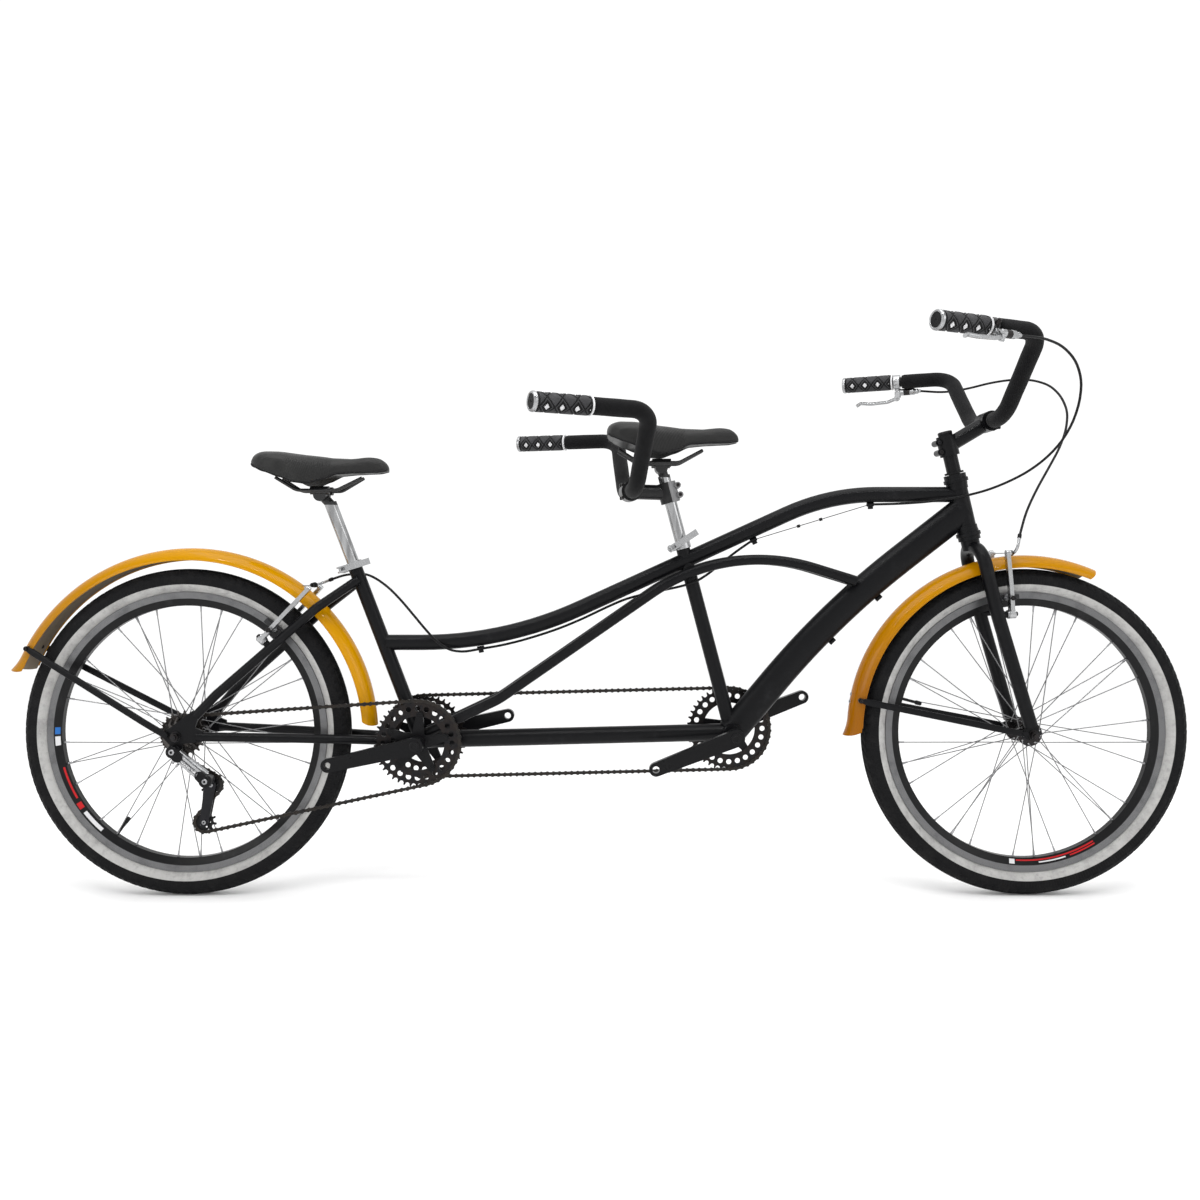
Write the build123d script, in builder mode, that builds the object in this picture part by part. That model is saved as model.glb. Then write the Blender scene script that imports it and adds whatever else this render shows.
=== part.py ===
from build123d import *
import os
from math import asin, atan2, cos, degrees, dist, hypot, pi, radians, sin, tan

os.makedirs("parts", exist_ok=True)

# A cruiser tandem bicycle. Millimetres. +X is forward, +Y the rider's left, +Z up.
# The ground is Z = 0 and the bicycle's middle plane is Y = 0. "Right" is the drive side, -Y.

# ---- driving dimensions ----
pitch = 12.7
ring_teeth, cog_teeth, pulley_teeth = 42, 18, 10
cassette_teeth = (22, 20, 18, 16, 15, 14, 13)
bracket_gap = 50 * pitch
tyre_r, tyre_half = 332.0, 25.0
rear_hub = Vector(-840.0, 0, 331.5)
front_hub = Vector(865.7, 0, 331.5)
rear_bracket = Vector(-366.0, 0, 314.3)
bracket_rise = 15.7
front_bracket = rear_bracket + Vector((bracket_gap**2 - bracket_rise**2) ** 0.5, 0, bracket_rise)
front_axle_half, rear_axle_half = 50.0, 67.5
rear_crank, front_crank = 175.0, 170.0
rear_crank_angle, front_crank_angle = 192.6, 201.2
rear_seat_lean, front_seat_lean = 21.0, 14.8
rear_seat_top, front_seat_top = 677.0, 718.0
seat_tube_r, post_r = 14.3, 12.7
wall = 1.5
shell_r, shell_half = 20.0, 35.0
steer_low = Vector(760.1, 0, 707)
steer_up = Vector(-27, 0, 116).normalized()
steerer_r, head_r = 12.7, 19.0
head_low, head_high, cup_low, cup_high = 37.0, 131.4, 15.4, 154.0
chain_y, cage_pivot = 45.0, Vector(-780.0, -58.0, 244.0)
bar_r, foam_r, grip_r = 11.1, 16.2, 17.0
captain_clamp = Vector(794, 0, 964)
stoker_clamp = Vector(61, 0, 821)
stoker_yaw = 6.0
rim_r, track_low = 285.0, 270.0
brake_gap = 1.3
right, left = -1, 1

rear_seat_dir = Vector(-sin(radians(rear_seat_lean)), 0, cos(radians(rear_seat_lean)))
front_seat_dir = Vector(-sin(radians(front_seat_lean)), 0, cos(radians(front_seat_lean)))


def on_line(start, direction, height):
    """The point at a height on the line through start."""
    return start + direction * ((height - start.Z) / direction.Z)


def side_plane(centre, y=0.0):
    """A sketch plane square to the wheels' axles: its x is forward and its y is up."""
    return Plane(origin=(centre.X, y, centre.Z), x_dir=(1, 0, 0), z_dir=(0, -1, 0))


def bar(start, end, radius, bore=0.0, mode=Mode.ADD):
    """A round bar or tube from start to end, in the part being built."""
    start, end = Vector(start), Vector(end)
    with BuildSketch(Plane(origin=start, z_dir=end - start)) as section:
        Circle(radius)
        if bore:
            Circle(bore, mode=Mode.SUBTRACT)
    extrude(to_extrude=section.sketch, amount=(end - start).length, mode=mode)


def pipe(points, radius, bends, bore=0.0, mode=Mode.ADD):
    """A round tube bent along a line through points, in the part being built."""
    with BuildLine(mode=Mode.PRIVATE) as route:
        FilletPolyline(*points, radius=bends)
    line = route.wires()[0]
    with BuildSketch(Plane(origin=line @ 0, z_dir=line % 0)) as section:
        Circle(radius)
        if bore:
            Circle(bore, mode=Mode.SUBTRACT)
    sweep(sections=section.sketch, path=line, mode=mode)


def cord_bends(points):
    """The largest arc that each corner of a cable's route has room for."""
    radii = []
    for a, b, c in zip(points, points[1:], points[2:]):
        turn = radians((b - a).get_angle(c - b))
        radii.append(0.45 * min((b - a).length, (c - b).length) / tan(turn / 2))
    print("cable bends from", round(min(radii)), "to", round(max(radii)))
    return radii


def write(node, name):
    node.part.label = name
    export_step(node.part, f"parts/{name}.step")


# ---- frame tubes: each is coped to the outside of the tube that it meets ----
head_bottom, head_top = steer_low + steer_up * head_low, steer_low + steer_up * head_high
rear_collar = on_line(rear_bracket, rear_seat_dir, rear_seat_top)
front_collar = on_line(front_bracket, front_seat_dir, front_seat_top)
top_route = [(-436, 0, 513), (-194, 0, 513), (469.8, 0, 815.5), (735, 0, 815.5)]
top_bends, top_r = [780, 446], 15.9
down_route = [front_bracket, (472.6, 0, 572.4), (745, 0, 785.2)]
down_deep, down_wide, down_bend = 29.5, 20.0, 1700
arch_route = [(-354, 330), (-205, 400), (257, 720), (518, 639)]
arch_bends, arch_r, arch_y = [150, 380], 10.4, 25.0
boom_r = 17.4


def shell_axis(centre, reach=shell_half):
    return centre + Vector(0, -reach, 0), centre + Vector(0, reach, 0)


with BuildPart() as shell_cut:
    bar(*shell_axis(rear_bracket, shell_half + 2), shell_r)
    bar(*shell_axis(front_bracket, shell_half + 2), shell_r)

with BuildPart() as seat_cut:
    bar(rear_bracket, rear_collar + rear_seat_dir * 60, seat_tube_r)
    bar(front_bracket, front_collar + front_seat_dir * 60, seat_tube_r)

with BuildPart() as top_cut:
    pipe(top_route, top_r, top_bends)

with BuildPart() as boom_cut:
    bar(rear_bracket, front_bracket, boom_r)

with BuildPart() as head_tube:
    bar(head_bottom, head_top, head_r, bore=15.0)
    for end, way in ((head_bottom, steer_up), (head_top, -steer_up)):
        bar(end, end + way * 9, head_r + 1.8, bore=15.0)
write(head_tube, "head_tube")

with BuildPart() as head_cut:
    bar(head_bottom - steer_up * 20, head_top + steer_up * 20, head_r)
    for end, way in ((head_bottom, steer_up), (head_top, -steer_up)):
        bar(end - way * 20, end, 25)
        bar(end, end + way * 9, head_r + 1.8)

with BuildPart() as top_tube:
    pipe(top_route, top_r, top_bends, bore=top_r - wall)
    add([head_cut.part, seat_cut.part], mode=Mode.SUBTRACT)
write(top_tube, "top_tube")

with BuildPart() as down_cut:
    with BuildLine(mode=Mode.PRIVATE) as down_line:
        FilletPolyline(*down_route, radius=down_bend)
    down_path = down_line.wires()[0]
    with BuildSketch(Plane(origin=down_path @ 0, x_dir=(0, 1, 0), z_dir=down_path % 0)) as oval:
        Ellipse(down_wide, down_deep)
    sweep(sections=oval.sketch, path=down_path)

with BuildPart() as down_tube:
    add(down_cut.part)
    with BuildSketch(Plane(origin=down_path @ 0, x_dir=(0, 1, 0), z_dir=down_path % 0)) as inside:
        Ellipse(down_wide - wall, down_deep - wall)
    sweep(sections=inside.sketch, path=down_path, mode=Mode.SUBTRACT)
    add([head_cut.part, seat_cut.part, shell_cut.part, top_cut.part, boom_cut.part], mode=Mode.SUBTRACT)
write(down_tube, "down_tube")

with BuildPart() as boom_tube:
    bar(rear_bracket, front_bracket, boom_r, bore=boom_r - wall)
    add(shell_cut.part, mode=Mode.SUBTRACT)
write(boom_tube, "boom_tube")

with BuildPart() as rear_seat_tube:
    bar(rear_bracket, rear_collar, seat_tube_r, bore=post_r + 0.06)
    add([shell_cut.part, boom_cut.part], mode=Mode.SUBTRACT)
write(rear_seat_tube, "rear_seat_tube")

with BuildPart() as front_seat_tube:
    bar(front_bracket, front_collar, seat_tube_r, bore=post_r + 0.06)
    add([shell_cut.part, boom_cut.part], mode=Mode.SUBTRACT)
write(front_seat_tube, "front_seat_tube")

with BuildPart() as arch_tubes:
    for side in (right, left):
        route = [(x, side * arch_y, z) for x, z in arch_route]
        pipe(route, arch_r, arch_bends, bore=arch_r - 1.2)
    add([down_cut.part, shell_cut.part], mode=Mode.SUBTRACT)
write(arch_tubes, "arch_tubes")

spindle_r = 8.5
with BuildPart() as bottom_bracket_shells:
    for centre in (rear_bracket, front_bracket):
        bar(*shell_axis(centre), shell_r, bore=17.5)
        for side in (right, left):
            face = centre + Vector(0, side * shell_half, 0)
            bar(face - Vector(0, side * 12, 0), face, 17.5, bore=spindle_r + 0.05)
            bar(face, face + Vector(0, side * 1.6, 0), 19, bore=spindle_r + 0.05)
write(bottom_bracket_shells, "bottom_bracket_shells")

# ---- rear triangle ----
stay_top = on_line(rear_bracket, rear_seat_dir, 640)
seat_stay_r, chain_stay_r = 9.3, 9.2
brake_r = 4.0
rear_pivot = Vector(-678, 0, 523)
rear_arm_up = Vector(0.683, 0, 0.731).normalized()
rear_arm_out = Vector(-rear_arm_up.Z, 0, rear_arm_up.X)
rear_arm_y, front_arm_y = 46.0, 44.0

with BuildPart() as rear_stays:
    for side in (right, left):
        seat_stay = [(-802, side * 68, 372), (-764, side * 62, 413), (-568, side * 45, 586),
                     (stay_top.X, side * 15, 642)]
        pipe(seat_stay, seat_stay_r, [60, 60], bore=seat_stay_r - 1.2)
        chain_stay = [(-800, side * 68, 331), (-640, side * 52, 326), (-490, side * 34.5, 320),
                      (-366, side * 24, 314)]
        pipe(chain_stay, chain_stay_r, [500, 400], bore=chain_stay_r - 1.2)
        for start, following in (seat_stay[:2], chain_stay[:2]):
            way = (Vector(following) - Vector(start)).normalized()
            bar(start, Vector(start) + way * 2, seat_stay_r)
        boss = rear_pivot + Vector(0, side * rear_arm_y, 0)
        bar(boss - rear_arm_out * 26, boss - rear_arm_out * 7, 7)
        bar(boss - rear_arm_out * 7, boss + rear_arm_out * 8, brake_r)
    add([seat_cut.part, shell_cut.part], mode=Mode.SUBTRACT)
write(rear_stays, "rear_stays")

plate = 5.0
with BuildPart() as rear_dropouts:
    for side in (right, left):
        inner = side * rear_axle_half
        with BuildSketch(side_plane(rear_hub, inner)) as outline:
            with BuildLine():
                Polyline((-25, 9), (-8, 20), (34, 52), (46, 42), (38, 18), (52, 12), (52, -10), (14, -14),
                         (-14, -14), (-25, -2), close=True)
            make_face()
            if side == right:
                with BuildLine():
                    Polyline((-14, -10), (14, -10), (12, -34), (4, -38), (-8, -36), close=True)
                make_face()
            Circle(5.05, mode=Mode.SUBTRACT)
            if side == right:
                with Locations((-1, -27.5)):
                    Circle(5.0, mode=Mode.SUBTRACT)
        extrude(to_extrude=outline.sketch, amount=-side * plate)
    add(rear_stays.part, mode=Mode.SUBTRACT)
write(rear_dropouts, "rear_dropouts")


def axle(centre, inner, reach, plate_thick, name):
    """A wheel's fixed axle with a cone and lock nut inside each dropout, and a flanged nut outside it."""
    with BuildPart() as made:
        bar(centre - Vector(0, reach, 0), centre + Vector(0, reach, 0), 4.9)
        for side in (right, left):
            face = centre + Vector(0, side * inner, 0)
            outside = centre + Vector(0, side * (inner + plate_thick), 0)
            way = Vector(0, side, 0)
            bar(face - way * 6, face, 8.2)
            bar(outside, outside + way * 2, 10.5)
            with BuildSketch(Plane(origin=outside + way * 2, x_dir=(1, 0, 0), z_dir=way)) as nut:
                RegularPolygon(8.6, 6)
            extrude(to_extrude=nut.sketch, amount=8)
    write(made, name)


axle(rear_hub, rear_axle_half, rear_axle_half + 20, plate, "rear_axle")
axle(front_hub, front_axle_half, front_axle_half + 20, plate, "front_axle")

# ---- cable stops ----
stop_r, housing_r, wire_r = 4.2, 2.5, 0.8
stops = [((552, 0, 795.2), (-1, 0, -0.05)), ((313, 0, 722.5), (-0.91, 0, -0.415)),
         ((-245, 0, 501.4), (-0.985, 0, -0.17))]
with BuildPart() as cable_stops:
    for place, way in stops:
        place, way = Vector(place), Vector(way).normalized()
        bar(place - way * 8, place + way * 6, stop_r)
        with BuildSketch(Plane(origin=place - way * 6, x_dir=(0, 1, 0), z_dir=way)) as foot:
            with Locations((0, 5)):
                Rectangle(4, 9)
        extrude(to_extrude=foot.sketch, amount=10)
        bar(place - way * 9, place + way * 7, housing_r, mode=Mode.SUBTRACT)
    for share in (0.42, 0.62):
        place = down_path @ share
        along = down_path % share
        below = Vector(along.Z, 0, -along.X)
        foot = place + below * (down_deep + 3.5)
        bar(foot - along * 7, foot + along * 7, stop_r, bore=housing_r)
        bar(place, place + below * (down_deep + 1.2), 2.5)
    add([top_cut.part, down_cut.part], mode=Mode.SUBTRACT)
write(cable_stops, "cable_stops")

# ---- headset, fork ----
cup_r = 24.5
cup_places = ((head_bottom, -steer_up, head_low - cup_low), (head_top, steer_up, cup_high - head_high))
with BuildPart() as bearing_cups:
    for base, way, tall in cup_places:
        bar(base, base + way * 5, 21.5, bore=steerer_r + 0.06)
        bar(base + way * 5, base + way * 13, cup_r, bore=steerer_r + 0.06)
        bar(base + way * 13, base + way * (tall - 0.4), 22, bore=steerer_r + 0.06)
    round_edges = bearing_cups.edges().filter_by(GeomType.CIRCLE)
    fillet(round_edges.filter_by(lambda e: abs(e.radius - cup_r) < 0.01), 1.2)
write(bearing_cups, "bearing_cups")

blade_r = 13.4
front_pivot = Vector(826, 0, 573)
front_arm_up = Vector(-0.073, 0, 0.997).normalized()
front_arm_out = Vector(front_arm_up.Z, 0, -front_arm_up.X)
steer_top = steer_low + steer_up * cup_high

with BuildPart() as fork:
    for side in (right, left):
        blade = [steer_low, (764, side * 50, 703), (795, side * 51, 572), (860, side * 55, 350)]
        pipe(blade, blade_r, [35, 500], bore=blade_r - 1.6)
        way = (Vector(blade[3]) - Vector(blade[2])).normalized()
        bar(Vector(blade[3]) - way * 2, blade[3], blade_r)
    for side in (right, left):
        boss = front_pivot + Vector(0, side * front_arm_y, 0)
        bar(boss - front_arm_out * 30, boss - front_arm_out * 7, 7)
        bar(boss - front_arm_out * 7, boss + front_arm_out * 8, brake_r)
        inner = side * front_axle_half
        with BuildSketch(side_plane(front_hub, inner)) as tip:
            with BuildLine():
                Polyline((-12, 30), (4, 30), (11, 8), (11, -9), (-11, -9), (-24, -3), (-24, 9), (-13, 14),
                         close=True)
            make_face()
        extrude(to_extrude=tip.sketch, amount=-side * plate)
        hole_ends = [front_hub + Vector(0, inner * share, 0) for share in (0.9, 1.3)]
        bar(*hole_ends, 5.0, mode=Mode.SUBTRACT)
    bar(steer_low - steer_up * 4, steer_low + steer_up * (cup_low - 0.3), 18.5)
    bar(steer_low, steer_top, steerer_r)
    bar(steer_low + steer_up * 20, steer_top + steer_up, 11.2, mode=Mode.SUBTRACT)
write(fork, "fork")

# ---- wheels ----
valve_angle = {"front": 165.0, "rear": -125.0}
hub_flanges = {"front": (-33.0, 33.0), "rear": (-22.0, 34.0)}
flange_r = {"front": 20.0, "rear": 24.0}
rim_well = 262.0


for name, centre in (("front", front_hub), ("rear", rear_hub)):
    radial = Plane(origin=centre, x_dir=(1, 0, 0), z_dir=(0, 0, 1))
    spin = Axis(origin=centre, direction=(0, 1, 0))
    with BuildPart() as tyre_part:
        with BuildSketch(radial) as casing:
            with Locations((tyre_r - tyre_half, 0)):
                Circle(tyre_half)
                Circle(tyre_half - 3.6, mode=Mode.SUBTRACT)
            with Locations((rim_r - 50, 0)):
                Rectangle(100, 80, mode=Mode.SUBTRACT)
        revolve(axis=spin)
    write(tyre_part, f"{name}_tyre")

    with BuildPart() as rim_part:
        with BuildSketch(radial) as section:
            with BuildLine():
                Polyline((rim_r, -12.5), (track_low, -12.5), (257, -7), (257, 7), (track_low, 12.5),
                         (rim_r, 12.5), (rim_r, 10), (rim_well + 6, 10), (rim_well, 6), (rim_well, -6),
                         (rim_well + 6, -10), (rim_r, -10), close=True)
            make_face()
        revolve(axis=spin)
        way = Vector(cos(radians(valve_angle[name])), 0, sin(radians(valve_angle[name])))
        bar(centre + way * 222, centre + way * 258, 3.0)
        bar(centre + way * 219, centre + way * 226, 4.2)
    write(rim_part, f"{name}_rim")

    low, high = hub_flanges[name]
    hub_end = (front_axle_half if name == "front" else rear_axle_half) - 6.4
    with BuildPart() as hub_part:
        start = -29.0 if name == "rear" else -hub_end
        bar(centre + Vector(0, start, 0), centre + Vector(0, hub_end, 0), 11.5, bore=4.95)
        for y in (low, high):
            bar(centre + Vector(0, y - 1.6, 0), centre + Vector(0, y + 1.6, 0), flange_r[name] + 5, bore=4.95)
        for y in (low, high):
            inward = 6 if y == low else -6
            bar(centre + Vector(0, y, 0), centre + Vector(0, y + inward, 0), 15, bore=4.95)
    write(hub_part, f"{name}_hub")

    # 36 spokes, crossing three: each leaves its flange at a tangent, heads in and heads out by turns
    places = []
    for y in (low, high):
        for n in range(18):
            lean = 1 if n % 2 else -1
            hole = n * 20 + (10 if y == high else 0)
            meet = hole + lean * 60 - lean * 5
            foot_at = radians(hole)
            rim_at = radians(meet)
            out = y + lean * 2.1 * (1 if y > 0 else -1)
            start = centre + Vector(flange_r[name] * cos(foot_at), out, flange_r[name] * sin(foot_at))
            end = centre + Vector(258 * cos(rim_at), 2 * (1 if y > 0 else -1), 258 * sin(rim_at))
            places.append((start, end))
    with BuildPart() as spokes:
        for first in (0, 18):
            row = places[first:first + 18]
            for kind in (0, 1):
                same = row[kind::2]
                length = (same[0][1] - same[0][0]).length
                with Locations(*[Plane(origin=a, z_dir=b - a) for a, b in same]):
                    Cylinder(1.0, length, align=(Align.CENTER, Align.CENTER, Align.MIN))
    write(spokes, f"{name}_spokes")


# ---- chains: rollers stand on the pitch circles, one pitch apart all the way round ----
def pitch_r(teeth):
    return pitch / (2 * sin(pi / teeth))


def belt_line(wheels):
    """Straight and round stretches of a chain. A wheel is (x, z, radius, turn), turn +1 anticlockwise."""
    ways = []
    for (x1, z1, r1, s1), (x2, z2, r2, s2) in zip(wheels, wheels[1:] + wheels[:1]):
        gap = hypot(x2 - x1, z2 - z1)
        ways.append(atan2(z2 - z1, x2 - x1) - asin((s2 * r2 - s1 * r1) / gap))
    line = []
    for n, (x, z, r, s) in enumerate(wheels):
        way_in, way_out = ways[n - 1], ways[n]
        wrap = s * (way_out - way_in) % (2 * pi)
        line.append(("arc", x, z, r, s, way_in - s * pi / 2, wrap, wrap * r))
        x2, z2, r2, s2 = wheels[(n + 1) % len(wheels)]
        start = (x + s * r * sin(way_out), z - s * r * cos(way_out))
        end = (x2 + s2 * r2 * sin(way_out), z2 - s2 * r2 * cos(way_out))
        line.append(("run", *start, *end, 0, 0, dist(start, end)))
    return line


def at(line, travel):
    """The point that lies so far along a chain's line."""
    total = sum(piece[7] for piece in line)
    travel %= total
    for piece in line:
        if travel <= piece[7]:
            break
        travel -= piece[7]
    if piece[0] == "arc":
        _, x, z, r, s, begin, _, _ = piece
        angle = begin + s * travel / r
        return x + r * cos(angle), z + r * sin(angle)
    _, x1, z1, x2, z2, _, _, length = piece
    share = travel / length
    return x1 + (x2 - x1) * share, z1 + (z2 - z1) * share


def rollers_on(line, count):
    """Roller centres one pitch apart, and how far past the start the last pitch ends."""
    travel, points = 0.0, []
    for _ in range(count):
        here = at(line, travel)
        points.append(here)
        low, high = travel + pitch * 0.98, travel + pitch * 1.1
        for _ in range(40):
            middle = (low + high) / 2
            if dist(here, at(line, middle)) < pitch:
                low = middle
            else:
                high = middle
        travel = low
    return points, travel - sum(piece[7] for piece in line)


def gap_angle(points, centre, radius):
    """The angle, in degrees, of a roller that sits in a sprocket's teeth."""
    for x, z in points:
        if abs(hypot(x - centre.X, z - centre.Z) - radius) < 0.002:
            return degrees(atan2(z - centre.Z, x - centre.X))
    raise ValueError("no roller on this sprocket")


guide_arm, cage_length = 12.6, 76.0
guide_lean = 20.0


def cage_at(angle):
    """The centres of the guide and tension pulleys with the cage turned to an angle from straight down."""
    turn = radians(angle)
    guide = cage_pivot + Vector(guide_arm * sin(turn + radians(guide_lean)), 0,
                                -guide_arm * cos(turn + radians(guide_lean)))
    tension = guide + Vector(cage_length * sin(turn), 0, -cage_length * cos(turn))
    return guide, tension


def drive_line(angle):
    guide, tension = cage_at(angle)
    small = pitch_r(pulley_teeth)
    return belt_line([
        (rear_bracket.X, rear_bracket.Z, pitch_r(ring_teeth), 1),
        (rear_hub.X, rear_hub.Z, pitch_r(cog_teeth), 1),
        (guide.X, guide.Z, small, -1),
        (tension.X, tension.Z, small, 1),
    ])


drive_links = 2 * round(sum(piece[7] for piece in drive_line(-9)) / pitch / 2)
low_angle, high_angle = -40.0, 25.0
for _ in range(40):
    cage_angle = (low_angle + high_angle) / 2
    if rollers_on(drive_line(cage_angle), drive_links)[1] < 0:
        low_angle = cage_angle
    else:
        high_angle = cage_angle
guide_centre, tension_centre = cage_at(cage_angle)
drive_rollers, left_over = rollers_on(drive_line(cage_angle), drive_links)
print("drive chain", drive_links, "links, cage at", round(cage_angle, 2), "closes to", round(left_over, 4))
print("guide", guide_centre, "tension", tension_centre)

sync_line = belt_line([
    (rear_bracket.X, rear_bracket.Z, pitch_r(ring_teeth), 1),
    (front_bracket.X, front_bracket.Z, pitch_r(ring_teeth), 1),
])
sync_links = 2 * 50 + ring_teeth
sync_rollers, left_over = rollers_on(sync_line[1:] + sync_line[:1], sync_links)
print("sync chain", sync_links, "links, closes to", round(left_over, 4))

roller_r, pin_r, inner_at, outer_at, plate_t = 3.85, 1.8, 1.3, 2.25, 0.9


def link(plate_at, joined_r, bored):
    """Two plates a pitch long, from x = 0, joined by two rollers or by two pins."""
    with BuildPart() as made:
        for face in (plate_at, -plate_at - plate_t):
            with BuildSketch(Plane.XZ.offset(face)) as outline:
                with Locations((0, 0), (pitch, 0)):
                    Circle(4.1)
                with Locations((pitch / 2, 0)):
                    Rectangle(pitch, 5.4)
            extrude(to_extrude=outline.sketch, amount=plate_t)
        reach = plate_at if bored else plate_at + plate_t + 0.35
        with Locations((0, 0, 0), (pitch, 0, 0)):
            Cylinder(joined_r, 2 * reach, rotation=(90, 0, 0))
            if bored:
                Cylinder(pin_r + 0.05, 20, rotation=(90, 0, 0), mode=Mode.SUBTRACT)
    return made.part


inner_link, outer_link = link(inner_at, roller_r, True), link(outer_at, pin_r, False)


def chain(rollers, y, name):
    following = rollers[1:] + rollers[:1]
    turns = [degrees(atan2(b[1] - a[1], b[0] - a[0])) for a, b in zip(rollers, following)]
    places = [Location((x, y, z), (0, -turn, 0)) for (x, z), turn in zip(rollers, turns)]
    with BuildPart() as made:
        with Locations(*places[0::2]):
            add(inner_link)
        with Locations(*places[1::2]):
            add(outer_link)
    write(made, name)


chain(sync_rollers, chain_y, "sync_chain")
chain(drive_rollers, -chain_y, "drive_chain")


# ---- sprockets ----
tooth_tall, roller_play = 3.0, 0.4


def teeth(count, phase, thick, centre, y, open_r, holes=0, hole_ring=0.0, hole_r=5.4):
    """A toothed ring in the part being built, with a gap for a roller at the phase angle."""
    radius = pitch_r(count)
    with BuildSketch(side_plane(centre, y)) as disc:
        Circle(radius + tooth_tall)
        with PolarLocations(radius, count, start_angle=phase):
            Circle(roller_r + roller_play, mode=Mode.SUBTRACT)
            Polygon((0, 4.2), (7, 8.2), (7, -8.2), (0, -4.2), align=None, mode=Mode.SUBTRACT)
        Circle(open_r, mode=Mode.SUBTRACT)
        if holes:
            with PolarLocations(hole_ring, holes):
                Circle(hole_r, mode=Mode.SUBTRACT)
    extrude(to_extrude=disc.sketch, amount=thick / 2, both=True)


ring_open, ring_holes, ring_hole_at = 54.0, 24, 69.5
ring_pitch = pitch_r(ring_teeth)
with BuildPart() as front_sync_ring:
    teeth(ring_teeth, gap_angle(sync_rollers, front_bracket, ring_pitch), 2.0, front_bracket, chain_y,
          ring_open, ring_holes, ring_hole_at)
write(front_sync_ring, "front_sync_ring")

with BuildPart() as rear_chainrings:
    teeth(ring_teeth, gap_angle(sync_rollers, rear_bracket, ring_pitch), 2.0, rear_bracket, chain_y,
          ring_open, ring_holes, ring_hole_at)
    teeth(ring_teeth, gap_angle(drive_rollers, rear_bracket, ring_pitch), 2.0, rear_bracket, -chain_y,
          ring_open, ring_holes, ring_hole_at)
write(rear_chainrings, "rear_chainrings")

cog_gap = 5.0
cog_phase = gap_angle(drive_rollers, rear_hub, pitch_r(cog_teeth))
with BuildPart() as freewheel_sprockets:
    for n, count in enumerate(cassette_teeth):
        y = -chain_y - (n - 2) * cog_gap
        teeth(count, cog_phase, 1.8, rear_hub, y, 17.0)
    body_low, body_high = -chain_y - 4 * cog_gap - 0.5, -chain_y + 2 * cog_gap + 2
    bar(rear_hub + Vector(0, body_low, 0), rear_hub + Vector(0, body_high, 0), 18.0, bore=8.5)
write(freewheel_sprockets, "freewheel_sprockets")

for name, centre in (("guide_pulley", guide_centre), ("tension_pulley", tension_centre)):
    with BuildPart() as pulley:
        phase = gap_angle(drive_rollers, centre, pitch_r(pulley_teeth))
        teeth(pulley_teeth, phase, 2.2, centre, -chain_y, 5.4, 5, 10.0, 2.2)
        hub_middle = Vector(centre.X, -chain_y, centre.Z)
        bar(hub_middle - Vector(0, 2.9, 0), hub_middle + Vector(0, 2.9, 0), 6.0, bore=3.05)
    write(pulley, name)


# ---- cranks ----
arm_in, arm_out, boss_r, eye_r, pedal_r = 72.0, 85.0, 17.0, 13.5, 6.9


def crank_arm(centre, angle, length, side):
    """A crank arm with an open pedal hole, on the part being built."""
    tip = (length * cos(radians(angle)), length * sin(radians(angle)))
    with BuildSketch(side_plane(centre, side * arm_in)) as blade:
        with BuildSketch(mode=Mode.PRIVATE) as ends:
            with Locations((0, 0)):
                Circle(boss_r)
            with Locations(tip):
                Circle(eye_r)
        make_hull(ends.edges())
        with Locations(tip):
            Circle(pedal_r, mode=Mode.SUBTRACT)
    extrude(to_extrude=blade.sketch, amount=-side * (arm_out - arm_in))


def spider(centre, side, phase):
    """Five arms out to a chainring, and its bolts."""
    face = side * (chain_y + 1.05)
    thick = 4.5
    for n in range(5):
        turn = radians(phase + 72 * n)
        with BuildSketch(side_plane(centre, face)) as arm:
            with BuildSketch(mode=Mode.PRIVATE) as ends:
                Circle(15)
                with Locations((57.5 * cos(turn), 57.5 * sin(turn))):
                    Circle(7)
            make_hull(ends.edges())
        extrude(to_extrude=arm.sketch, amount=-side * thick)
        bolt = centre + Vector(58.5 * cos(turn), face + side * thick, 58.5 * sin(turn))
        bar(bolt, bolt + Vector(0, side * 1.6, 0), 4.6)
    hub_face = centre + Vector(0, face, 0)
    bar(hub_face, centre + Vector(0, side * arm_in, 0), boss_r - 1)


def cranks(centre, angle, length, driven_sides, name):
    with BuildPart() as made:
        bar(centre - Vector(0, arm_in + 2, 0), centre + Vector(0, arm_in + 2, 0), spindle_r)
        for side in (right, left):
            crank_arm(centre, angle + (0 if side == right else 180), length, side)
            if side in driven_sides:
                spider(centre, side, angle + 36)
            else:
                bar(centre + Vector(0, side * 39, 0), centre + Vector(0, side * arm_in, 0), boss_r - 3)
            cap = centre + Vector(0, side * (arm_out - 1), 0)
            bar(cap, cap + Vector(0, side * 2.2, 0), 10.5)
    write(made, name)


cranks(rear_bracket, rear_crank_angle, rear_crank, (right, left), "rear_cranks")
cranks(front_bracket, front_crank_angle, front_crank, (left,), "front_cranks")

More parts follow.
